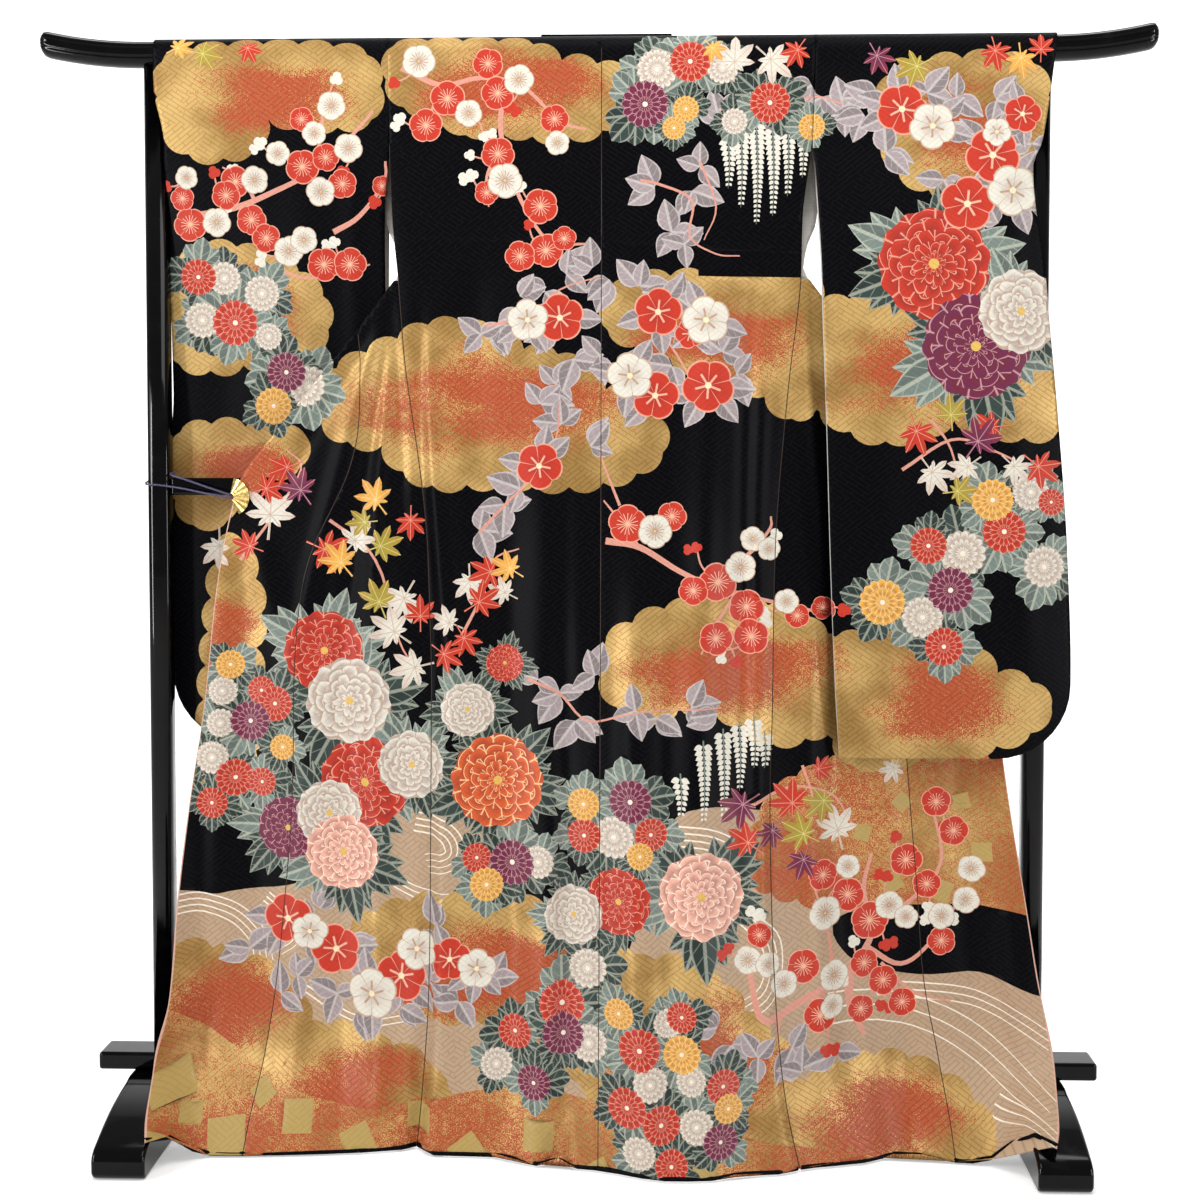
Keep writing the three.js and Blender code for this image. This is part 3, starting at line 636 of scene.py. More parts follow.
# the first five points of the hem band are given in millimetres
hemBand = [(-647, 190), (-570, 160), (-490, 112), (-400, 74), (-302, 60)] + laid([
    (460, 1086), (560, 1080), (700, 1106), (800, 1130), (880, 1150), (940, 1186), (940, 1215),
    (140, 1210),
])
goldSquares = sized([
    (174, 1082, 15), (231, 1128, 16), (169, 1141, 9), (300, 1110, 12), (262, 1092, 8), (360, 1134, 12),
    (420, 1112, 10), (470, 1142, 13), (540, 1120, 12), (600, 1150, 10), (700, 1150, 12), (196, 1108, 8),
    (890, 880, 8), (940, 890, 9), (980, 850, 8), (960, 800, 7), (900, 800, 7), (860, 830, 7),
])
branches = [(laid(line), round(width * sight["branchWidth"], 1)) for line, width in (
    ([(176, 216), (230, 206), (270, 190), (310, 170), (345, 140), (372, 110)], 7),
    ([(300, 176), (316, 150), (322, 110), (334, 96)], 5),
    ([(330, 230), (356, 214), (382, 180), (384, 160)], 6),
    ([(250, 196), (240, 176), (220, 166)], 4),
    ([(262, 262), (300, 276), (340, 270), (366, 262)], 4),
    ([(400, 66), (440, 84), (480, 76), (520, 84), (560, 120), (586, 128)], 6),
    ([(440, 84), (430, 110), (410, 128)], 4),
    ([(505, 86), (500, 130), (516, 190), (548, 240), (586, 244)], 6),
    ([(498, 150), (486, 176), (488, 206)], 4),
    ([(606, 540), (640, 546), (680, 570), (720, 586), (770, 600), (828, 612)], 7),
    ([(640, 548), (620, 520), (604, 500)], 4),
    ([(700, 580), (740, 560), (768, 530), (770, 516)], 5),
    ([(736, 590), (716, 620), (700, 650)], 4),
    ([(620, 505), (606, 470), (600, 452)], 3),
    ([(846, 966), (800, 984), (760, 998), (748, 962), (744, 930)], 10),
    ([(846, 966), (852, 1010), (866, 1040)], 11),
    ([(846, 966), (870, 930), (862, 886), (870, 850)], 8),
    ([(868, 920), (908, 900), (940, 860), (930, 800)], 6),
    ([(866, 944), (900, 962), (930, 940), (966, 890)], 6),
    ([(830, 975), (826, 930), (812, 880)], 5),
    ([(880, 960), (912, 990), (950, 1000)], 4),
    ([(800, 984), (780, 1010), (776, 1034)], 5),
    ([(640, 180), (660, 184), (692, 200), (690, 236), (716, 254), (740, 256)], 3.2),
    ([(720, 110), (760, 120), (810, 96), (846, 100)], 3.4),
    ([(700, 160), (716, 206), (704, 240)], 2.6),
    ([(530, 676), (560, 690), (590, 716), (640, 706), (720, 702)], 3.2),
    ([(480, 532), (505, 505), (530, 480), (556, 440), (560, 400)], 3.2),
    ([(486, 326), (530, 316), (560, 290), (600, 276)], 3),
    ([(640, 300), (680, 360), (700, 400)], 3),
    ([(460, 640), (480, 600), (494, 560), (520, 548)], 3.4),
    ([(240, 560), (270, 520), (300, 470), (286, 450)], 3.4),
    ([(330, 520), (376, 560), (400, 640), (420, 670)], 3.4),
    ([(900, 470), (950, 440), (990, 450), (1050, 480)], 3.6),
    ([(930, 420), (950, 450), (960, 500)], 3),
    ([(740, 800), (790, 780), (830, 790), (850, 820)], 3.4),
    ([(800, 760), (810, 800), (790, 850)], 3),
)]
tones = {
    "red": ((0.50, 0.038, 0.020), (0.78, 0.38, 0.27)),
    "white": ((0.68, 0.64, 0.55), (0.44, 0.27, 0.17)),
    "purple": ((0.14, 0.022, 0.062), (0.62, 0.34, 0.34)),
    "yellow": ((0.74, 0.38, 0.075), (0.86, 0.62, 0.30)),
    "orange": ((0.62, 0.105, 0.030), (0.90, 0.66, 0.36)),
    "pink": ((0.78, 0.42, 0.32), (0.92, 0.80, 0.66)),
    "olive": ((0.36, 0.29, 0.045), (0.75, 0.62, 0.25)),
    "green": ((0.034, 0.052, 0.045), (0.40, 0.42, 0.34)),
    "pale": ((0.17, 0.21, 0.185), (0.50, 0.52, 0.42)),
    "lilac": ((0.34, 0.28, 0.285), (0.60, 0.54, 0.51)),
    "bark": ((0.62, 0.28, 0.21), (0.80, 0.50, 0.38)),
    "gold": ((0.42, 0.295, 0.098), deepGold),
    "foam": ((0.82, 0.74, 0.62), (0.8, 0.7, 0.6)),
    # the next tone is the painted shade laid along the seams
    "seamShade": ((0.032, 0.018, 0.012), (0.1, 0.05, 0.03)),
    "piping": ((0.62, 0.36, 0.28), (0.6, 0.4, 0.3)),
}
shapes = []


def paint(points, dye, tone="gold", centre=(0, 0), size=1.0, turn=0.0, tall=None, only=None):
    points = np.asarray(points, float)
    ahead = np.roll(points, -1, axis=0)
    if np.sum(points[:, 0] * ahead[:, 1] - ahead[:, 0] * points[:, 1]) < 0:
        points = points[::-1]
    colour, line = tones[tone]
    shapes.append({
        "points": points, "dye": dyeNames.index(dye), "tone": colour, "line": line,
        "centre": centre, "size": size, "turn": turn, "tall": tall or size,
        "low": points.min(axis=0), "high": points.max(axis=0), "only": only,
    })


def placed(local, centre, size, turn):
    c, s = math.cos(turn), math.sin(turn)
    return np.column_stack([
        centre[0] + size * (local[:, 0] * c - local[:, 1] * s),
        centre[1] + size * (local[:, 0] * s + local[:, 1] * c),
    ])


def petalEdge(petals, depth, steps):
    angle = np.linspace(0, 2 * math.pi, petals * steps, endpoint=False) + math.pi / petals / steps
    lobe = np.abs(np.cos(angle * petals / 2)) ** 0.55
    reach = 1 - depth + depth * lobe
    return np.column_stack([reach * np.cos(angle), reach * np.sin(angle)])


# of each flower: petals, depth of the notches between them, points on a petal, and spread
flowerEdges = {
    "plum": (5, 0.11, 7, 1.12),
    "kiku": (16, 0.09, 3, 1.06),
    "peony": (13, 0.13, 4, 1.1),
    "camellia": (5, 0.18, 7, 1.1),
}


def flower(kind, x, z, size, tone):
    petals, depth, steps, spread = flowerEdges[kind]
    size = size * spread
    turn = random.uniform(0, 2 * math.pi)
    paint(placed(petalEdge(petals, depth, steps), (x, z), size, turn), kind, tone, (x, z), size, turn)


def leafEdge(fullness, power, steps=8):
    t = np.linspace(0, 1, steps)
    half = np.sin(math.pi * t ** fullness) ** power
    upper = np.column_stack([t, half])
    lower = np.column_stack([t[-2:0:-1], -half[-2:0:-1]])
    return np.vstack([lower[::-1], upper[::-1]])


leafOutlines = {"leaf": leafEdge(0.75, 0.95), "lobe": leafEdge(1.3, 0.6), "plain": leafEdge(0.8, 0.9, 5)}


def leaf(x, z, length, turn, tone, width=0.3, dye="leaf"):
    outline = leafOutlines[dye] * (1, width)
    paint(placed(outline, (x, z), length, turn), dye, tone, (x, z), length, turn, length * width)


def peonyLeaf(x, z, length, turn, tone):
    # three pointed leaflets, the middle one with two side tips
    for way, share in ((-0.95, 0.78), (0.95, 0.78), (-0.42, 0.9), (0.42, 0.9), (0, 1.08)):
        leaf(x, z, length * share, turn + way, tone, 0.25)


def kikuLeaf(x, z, length, turn, tone):
    # five round lobes
    for way, share in ((-1.45, 0.68), (1.45, 0.68), (-0.72, 0.88), (0.72, 0.88), (0, 1.0)):
        leaf(x, z, length * share, turn + way, tone, 0.33, "lobe")


def buds(x, z, size, tone):
    # a twig that ends in one or two closed buds
    turn = random.uniform(0, 2 * math.pi)
    far = size * random.uniform(1.7, 2.3)
    tip = (x + far * math.cos(turn), z + far * math.sin(turn))
    bow = (x + far * 0.55 * math.cos(turn + 0.25), z + far * 0.55 * math.sin(turn + 0.25))
    ribbon([(x, z), bow, tip], 3.4, "bark", taper=0.4)
    for k in range(random.choice((1, 2, 2))):
        spot = (tip[0] + 12 * k * math.cos(turn + 1.3), tip[1] + 12 * k * math.sin(turn + 1.3))
        paint(placed(petalEdge(3, 0.30, 5), spot, random.uniform(8, 10.5), turn), "plain", tone, spot, 10)


def maple(x, z, size, tone):
    tips = ((90, 1.0), (45, 0.92), (135, 0.92), (0, 0.72), (180, 0.72), (-45, 0.46), (225, 0.46))
    corners = []
    for angle, reach in sorted(tips):
        for step, share in ((-22.4, 0.50), (-16, 0.66), (-10, 0.84), (0, 1.06), (10, 0.84), (16, 0.66)):
            at = math.radians(angle + step)
            corners.append((share * reach * math.cos(at), share * reach * math.sin(at)))
    corners.append((-0.28 * math.cos(math.radians(65)), -0.2))
    corners += [(-0.03, -0.22), (-0.05, -0.75), (0.03, -0.75), (0.03, -0.22)]
    corners = sorted(corners, key=lambda p: math.atan2(p[1], p[0]))
    turn = random.uniform(0, 2 * math.pi)
    paint(placed(np.array(corners), (x, z), size * 1.5, turn), "maple", tone, (x, z), size * 1.5, turn)


def ribbon(points, width, tone, dye="plain", taper=0.7, only=None):
    line = np.asarray(points, float)
    fine = np.linspace(0, len(line) - 1, 5 * (len(line) - 1) + 1)
    xs = alongLine(line[:, 0], fine)
    zs = alongLine(line[:, 1], fine)
    along = np.column_stack([np.gradient(xs), np.gradient(zs)])
    along /= np.maximum(np.linalg.norm(along, axis=1, keepdims=True), 1e-6)
    half = width / 2 * (1 - taper * np.linspace(0, 1, len(xs)))[:, None]
    aside = np.column_stack([-along[:, 1], along[:, 0]]) * half
    spine = np.column_stack([xs, zs])
    paint(np.vstack([spine - aside, (spine + aside)[::-1]]), dye, tone, tuple(spine[0]), 100.0, only=only)


def spline(ring, k, t):
    a, b, c, d = ring[k], ring[k + 1], ring[k + 2], ring[k + 3]
    bow = (2 * a - 5 * b + 4 * c - d) * t ** 2 + (3 * b - a - 3 * c + d) * t ** 3
    return 0.5 * (2 * b + (c - a) * t + bow)


def alongLine(values, at):
    padded = np.concatenate([[2 * values[0] - values[1]], values, [2 * values[-1] - values[-2]]])
    k = np.clip(np.floor(at).astype(int), 0, len(values) - 2)
    return spline(padded, k, at - k)


def closedRing(points):
    line = np.asarray(points, float)
    return np.vstack([line[-1:], line, line[:2]])


def smoothOutline(points, steps=6):
    ring = closedRing(points)
    return np.array([spline(ring, k, s / steps) for k in range(len(points)) for s in range(steps)])


def scalloped(points, lobe, bulge=0.24):
    # a cloud's edge: a closed outline whose sides become rows of round lobes
    n = len(points)
    fine = np.linspace(0, n, 12 * n + 1)
    k = np.minimum(fine.astype(int), n - 1)
    path = spline(closedRing(points), k, (fine - k)[:, None])
    length = np.concatenate([[0], np.cumsum(np.linalg.norm(np.diff(path, axis=0), axis=1))])
    count = max(5, round(length[-1] / lobe))
    area = np.sum(path[:-1, 0] * path[1:, 1] - path[1:, 0] * path[:-1, 1])
    edge = []
    for j in range(count):
        ends = [np.array([np.interp(length[-1] * q, length, path[:, m]) for m in (0, 1)])
                for q in (j / count, (j + 1) / count)]
        out = ends[1] - ends[0]
        out = np.array([out[1], -out[0]]) * (1 if area > 0 else -1)
        for step in range(7):
            q = step / 7
            edge.append(ends[0] + (ends[1] - ends[0]) * q + out * bulge * math.sin(math.pi * q) ** 0.7)
    return np.array(edge)


def cloud(points, dye="cloud", lobe=50):
    edge = scalloped(points, lobe)
    low, high = edge.min(axis=0), edge.max(axis=0)
    middle = (low + high) / 2
    paint(edge, dye, "gold", tuple(middle), (high[0] - low[0]) / 2, 0.0, (high[1] - low[1]) / 2)


def raceme(x, z, length):
    # white wisteria: pairs of small petals along a hanging stalk
    ribbon([(x, z + 8), (x + 2, z - length / 2), (x, z - length)], 2.2, "pale")
    count = int(length / 7)
    for k in range(count):
        down = k / count
        size = 13 * (1 - 0.68 * down)
        for way in (-1, 1):
            turn = math.radians(-90 + way * (70 - 34 * down))
            leaf(x + way + 2 * math.sin(3 * down), z - down * length, size, turn, "white", 0.36, "plain")


def strands(points, count, gap):
    # water: lines that run side by side
    line = np.asarray(points, float)
    along = np.gradient(line, axis=0)
    along /= np.linalg.norm(along, axis=1, keepdims=True)
    aside = np.column_stack([-along[:, 1], along[:, 0]])
    for k in range(count):
        ribbon([tuple(p) for p in line + aside * gap * k], 2.4, "foam", taper=0.5)


waterLines = [
    ([(-628, 322), (-575, 326), (-530, 312), (-500, 280), (-492, 246)], 4, 9),
    ([(-470, 352), (-430, 322), (-425, 285), (-452, 262)], 4, -8),
    ([(-340, 306), (-300, 272), (-240, 262), (-170, 268)], 3, 9),
    ([(-250, 476), (-205, 466), (-182, 436), (-192, 402), (-232, 390)], 4, -9),
    ([(-330, 430), (-300, 380), (-245, 352), (-190, 350)], 3, 8),
    ([(112, 470), (165, 466), (212, 440), (226, 398), (196, 362), (150, 358)], 5, -9),
    ([(206, 336), (240, 300), (236, 250), (196, 220)], 4, 9),
    ([(250, 474), (330, 468), (400, 474), (470, 466)], 3, -9),
    ([(330, 186), (410, 180), (490, 158), (560, 112), (618, 52)], 3, 21),
    ([(440, 232), (520, 226), (590, 204), (652, 172)], 3, -11),
    ([(560, 60), (600, 30), (640, -10)], 3, 14),
    ([(-420, 214), (-360, 176), (-300, 172), (-240, 184)], 2, 9),
]


def drawDesign():
    paint(smoothOutline(waterLeft), "water")
    paint(smoothOutline(waterRight), "water")
    for points, count, gap in waterLines:
        strands(points, count, gap)
    paint(scalloped(speckledField, 40), "field", "gold", (420, 430), 600, 0.0, 420)
    paint(smoothOutline(cove), "ground")
    for outline in goldClouds:
        cloud(outline)
    paint([(150, 1241), (310, 1238), (313, 1275), (150, 1280)], "ground")
    paint(smoothOutline(hemBand), "field", "gold", (0, 25), 600, 0.0, 85)
    for x, z, size in goldSquares:
        turn = random.uniform(0, 1.5)
        square = np.array([(-1, -0.9), (0.9, -1.1), (1.1, 0.8), (-0.8, 1)], float)
        paint(placed(square, (x, z), size * 1.2, turn), "plain", "gold", (x, z), size, turn)
    for x, z in vineLeaves:
        for k in range(3):
            leaf(x, z, random.uniform(34, 52), random.uniform(0, 2 * math.pi), "lilac", 0.34)
    for points, width in branches:
        ribbon(points, width, "bark", taper=0.6)
    for x, z, length in racemes:
        raceme(x, z, length)
    for kind, heads in (("peony", peonyFlowers), ("kiku", kikuFlowers)):
        for tone, places in heads.items():
            for x, z, size in places:
                start = random.uniform(0, 2 * math.pi)
                count = 5 if kind == "peony" else 4
                for k in range(count):
                    turn = start + 2 * math.pi * k / count + random.uniform(-0.3, 0.3)
                    near = size * 0.62
                    spot = (x + near * math.cos(turn), z + near * math.sin(turn))
                    if kind == "peony":
                        length = size * random.uniform(1.05, 1.45)
                        peonyLeaf(*spot, length, turn, random.choice(("green", "green", "pale")))
                    else:
                        length = size * random.uniform(1.3, 1.7)
                        kikuLeaf(*spot, length, turn, random.choice(("green", "pale")))
    for tone, places in camelliaFlowers.items():
        for x, z, size in places:
            for k in range(3):
                turn = random.uniform(0, 2 * math.pi)
                near = size * 0.6
                spot = (x + near * math.cos(turn), z + near * math.sin(turn))
                leaf(*spot, size * 1.35, turn, "lilac", 0.34)
    for tone, places in plumFlowers.items():
        for x, z, size in places:
            if random.random() < 0.55:
                buds(x, z, size, random.choice(("red", "white")))
    for kind, heads in (
        ("peony", peonyFlowers), ("camellia", camelliaFlowers), ("kiku", kikuFlowers), ("plum", plumFlowers),
    ):
        for tone, places in heads.items():
            for x, z, size in places:
                flower(kind, x, z, size, tone)
    for tone, places in mapleLeaves.items():
        for x, z, size in places:
            maple(x, z, size, tone)


def drawSeams():
    # thin dark lines of painted shade run over every dye along the seams, where the seam's fold is shaded;
    # the front edges have a pale piping
    body = ("back", "front_left", "front_right", "overlap_left", "overlap_right")
    for edge, outline in (("left", frontLeft), ("right", frontRight)):
        for low, high, line in (
            (0, 1430, lambda h: side(edge, h)), (0, 1160, lambda h: outline("overlapSeam", h)),
        ):
            heights = np.linspace(low, high, 24)
            ribbon(list(zip(line(heights), heights)), 1.3, "seamShade", taper=0.0, only=body)
        heights = np.linspace(0, 930, 16)
        ribbon(list(zip(outline("edge", heights), heights)), 2.6, "piping", taper=0.0, only=body)
    ribbon([(12, 0), (12, 780), (12, 1565)], 1.2, "seamShade", taper=0.0, only=body)


# Outlines of the hung cloth, as in the solids: each table is read smoothly at any height.
def readTable(names, rows):
    keys = names.split()
    grid = np.array(rows, float)
    at = grid[:, 0]
    step = np.diff(at)

    def read(name, value):
        y = grid[:, keys.index(name)]
        slope = np.diff(y) / step
        before, after = slope[:-1], slope[1:]
        total = np.where(before + after == 0, 1, before + after)
        middle = np.where(before * after > 0, 2 * before * after / total, 0)
        tangent = np.concatenate([slope[:1], middle, slope[-1:]])
        spot = np.clip(np.asarray(value, float), at[0], at[-1])
        i = np.clip(np.searchsorted(at, spot, side="right") - 1, 0, len(at) - 2)
        t = (spot - at[i]) / step[i]
        rise = t * t * (3 - 2 * t)
        bend = t * (1 - t) ** 2 * tangent[i] - t * t * (1 - t) * tangent[i + 1]
        return y[i] + (y[i + 1] - y[i]) * rise + step[i] * bend
    return read


side = readTable("height left right", [
    (0, -249, 291), (100, -240, 270), (212, -233, 259), (350, -231, 253), (490, -231, 251),
    (640, -231, 255), (770, -235, 257), (868, -239, 260), (1012, -255, 271), (1110, -269, 281),
    (1243, -280, 296), (1327, -288, 298), (1427, -292, 311), (1590, -295, 317),
])
hemForward = readTable("x forward", [
    (-603, 219), (-588, 188), (-570, 165), (-547, 145), (-483, 142), (-380, 131), (-270, 108),
    (-249, 93), (-230, 125), (-130, 130), (-75, 158), (-45, 143), (-20, 166), (22, 174),
    (65, 193), (105, 205), (155, 204), (208, 185), (280, 171), (291, 160), (378, 136),
    (447, 103), (465, 114), (500, 129), (545, 136), (575, 150), (592, 172), (605, 192),
    (627, 219),
])
frontLeft = readTable("height edge overlapSeam forward pleat rise", [
    (0, -603, -489, 219, -262, 0), (50, -614, -484, 175, -262, 0),
    (125, -622, -474, 100, -262, 0), (204, -607, -463, 76, -262, 0),
    (345, -598, -446, 61, -262, 0), (489, -582, -434, 50, -262, 0),
    (632, -561, -431, 40, -262, 0), (777, -546, -422, 35, -262, 0),
    (850, -535, -404, 32, -262, 2), (950, -510, -357, 28, -264, 7),
    (1010, -466, -340, 28, -266, 8), (1088, -403, -334, 28, -270, 8),
    (1168, -338, -338, 28, -277, 5), (1238, -284, -284, 27.5, -282, 0),
])
frontRight = readTable("height edge overlapSeam forward pleat rise", [
    (0, 627, 509, 219, 330, 0), (50, 640, 505, 175, 330, 0), (125, 648, 495, 108, 330, 0),
    (241, 631, 474, 75, 330, 0), (359, 614, 465, 60, 330, 0), (489, 592, 453, 53, 330, 0),
    (564, 582, 447, 50, 333, 4), (700, 564, 442, 40, 333, 13), (809, 549, 430, 34, 330, 16),
    (902, 536, 400, 30, 325, 16), (950, 527, 373, 28, 321, 15), (1010, 486, 358, 29, 316, 14),
    (1088, 422, 352, 30, 308, 11), (1168, 359, 359, 30, 304, 6), (1238, 306, 306, 31, 303, 0),
])
hemLift = readTable("x lift", [
    (-603, 46), (-588, 44), (-570, 20), (-547, 3), (-530, 0), (535, 0), (560, 10), (578, 32),
    (593, 54), (606, 59), (627, 55),
])
upperLeft = readTable("height collar overlapSeam armhole armholeBack collarBack", [
    (953, -498, -332, -277, -25, -23.5), (965, -458, -332, -277, -25, -22),
    (1010, -350, -332, -277, -25, -18), (1100, -215, -332, -277, -25, -12),
    (1168, -160, -332, -277, -25, -6), (1243, -128, -190, -277, -24.5, 0),
    (1280, -115, -150, -283, -10, 3), (1320, -102, -114, -301, 5, 6),
    (1340, -97, -102, -303, 10, 8), (1400, -88, -88, -299, 21, 14),
    (1427, -86, -86, -292, 25, 18), (1540, -77, -77, -295, 23.6, 23.6),
    (1590, -76, -76, -295, 23.6, 23.6),
])
upperRight = readTable("height collar overlapSeam armhole armholeBack collarBack", [
    (953, 514, 353, 299, -28, -23.5), (965, 476, 353, 299, -28, -22),
    (1010, 377, 353, 299, -28, -18), (1100, 246, 353, 299, -28, -12),
    (1168, 192, 353, 299, -28, -6), (1243, 158, 220, 299, -27.5, 0),
    (1280, 145, 180, 304, -20, 3), (1320, 134, 145, 319, -8, 6),
    (1340, 130, 135, 321, -2, 8), (1400, 122, 122, 317, 3, 14),
    (1427, 120, 120, 311, 4, 18), (1540, 113, 113, 317, 23.6, 23.6),
    (1590, 112, 112, 317, 23.6, 23.6),
])
sleeveLeft = readTable("height outer farOuter inner near far edge", [
    (560, -618, -618, -318, -21, -42, -27), (780, -620, -620, -312, -20, -42, -26),
    (1000, -619, -619, -308, -19.6, -42, -25), (1080, -613, -613, -306, -15, -40, -18),
    (1200, -613, -613, -303, -6, -36, -10), (1326, -613, -613, -301, 9, -33, 2),
    (1356, -613, -613, -300, 12, -32, 6), (1427, -614, -614, -292, 23, -29, 12),
    (1510, -631, -628, -294, 23.6, -25, 12), (1590, -633, -633, -295, 23.6, -23.6, 12),
])
sleeveRight = readTable("height outer farOuter inner near far edge", [
    (560, 671, 671, 349, 82, 71, 76), (675, 671, 671, 342, 86, 72, 76),
    (853, 665, 665, 335, 82, 66, 73), (1036, 653, 653, 330, 72, 55, 62),
    (1163, 643, 643, 326, 61, 43, 51), (1262, 635, 635, 323, 52, 34, 42),
    (1346, 624, 621, 318, 42, 22, 30), (1395, 621, 612, 315, 36, 12, 25),
    (1427, 633, 612, 311, 32, -1, 22), (1490, 644, 612, 313, 28, -20, 20),
    (1540, 651, 638, 315, 24, -23.6, 20), (1590, 657, 655, 317, 23.6, -23.6, 20),
])

drawDesign()
drawSeams()
print("design drawn:", len(shapes), "shapes")

cloth = {
    "wall": 2.4,             # of the solids
    "shell": 1.5,            # of the silk here
    "grid": 7.0,
    "railHeight": 1565.0,
    "railDepth": 22.35,
    "railRise": 19.35,
    "centre": 12.0,
    "lap": 3.0,              # one panel runs on under the other at a seam
    "tuck": 1.6,
    "groove": 0.8,
    "hem": 5.0,
    "fall": 1.8,
    "backDrift": (150, 1.6, 3),       # length, height and seed of the slow unevenness
    "frontDrift": (120, 1.2, 5),
    "sleeveDrift": (110, 1.1, 8),
}
# Heights at which the outline of a panel changes.
heightOf = {
    "armholeTop": 1427,
    "collarEnd": 1340,
    "armholeEnd": 1243,
    "frontTop": 1236,
    "overlapSeamTop": 1168,
    "overlapTop": 1166,
    "overlapEnd": 953,
}
arcLength = 36.0
onRail = cloth["railDepth"] + cloth["wall"] / 2


def mix(a, b, t):
    return a + (b - a) * t


def ease(t):
    t = np.clip(t, 0, 1)
    return t * t * (3 - 2 * t)


def backDepth(forward, h):
    fallen = np.clip((cloth["railHeight"] - h) / cloth["railHeight"], 0, 1)
    return onRail + (forward - onRail) * fallen ** cloth["fall"]


# Where a point of the cloth is: hanging below the rail at depth y, or bent over it above h 1565.
def hung(x, h, y, way):
    past = np.clip((h - cloth["railHeight"]) / arcLength, 0, 1) * math.pi / 2
    reachY = cloth["railDepth"] + cloth["wall"]
    reachZ = cloth["railRise"] + cloth["wall"]
    over = h > cloth["railHeight"]
    flatY = y + way * cloth["wall"] / 2
    return (x,
            np.where(over, way * reachY * np.cos(past), flatY),
            np.where(over, cloth["railHeight"] + reachZ * np.sin(past), h))


def creased(x, h, creases):
    # each crease runs from x0, h0 to x1, h1, so wide, standing out so far (less than 0 for a trough)
    out = np.zeros_like(x)
    for x0, h0, x1, h1, width, height in creases:
        run = np.array([x1 - x0, h1 - h0], float)
        length = np.hypot(*run)
        along = ((x - x0) * run[0] + (h - h0) * run[1]) / length ** 2
        away = ((x - x0) * run[1] - (h - h0) * run[0]) / length
        bend = 0.05 * length * np.sin(math.pi * np.clip(along, 0, 1))
        ends = ease(along * 4 + 0.5) * ease((1 - along) * 4 + 0.5)
        out += height * ends * np.exp(-((away - bend * 0.3) / width) ** 2)
    return out


def drift(x, h, size, height, seed):
    # slow unevenness of hanging silk
    waves = np.zeros_like(x)
    rng = np.random.default_rng(seed)
    for k in range(5):
        turn = rng.uniform(-0.5, 0.5)
        wave = size * rng.uniform(0.7, 1.8)
        along = (x * math.cos(turn) + 0.25 * h * math.sin(turn)) / wave
        waves += np.sin(along * 2 * math.pi + rng.uniform(0, 6))
    return height * waves / 5


def grooved(x, seams):
    # the seams draw the cloth in a little
    return -cloth["groove"] * sum(np.exp(-((x - at) / 2.5) ** 2) for at in seams)


def lapped(x, at, inward):
    # how far the lap lies behind the panel beside it
    return cloth["tuck"] * ease((x - at) * inward / cloth["lap"])


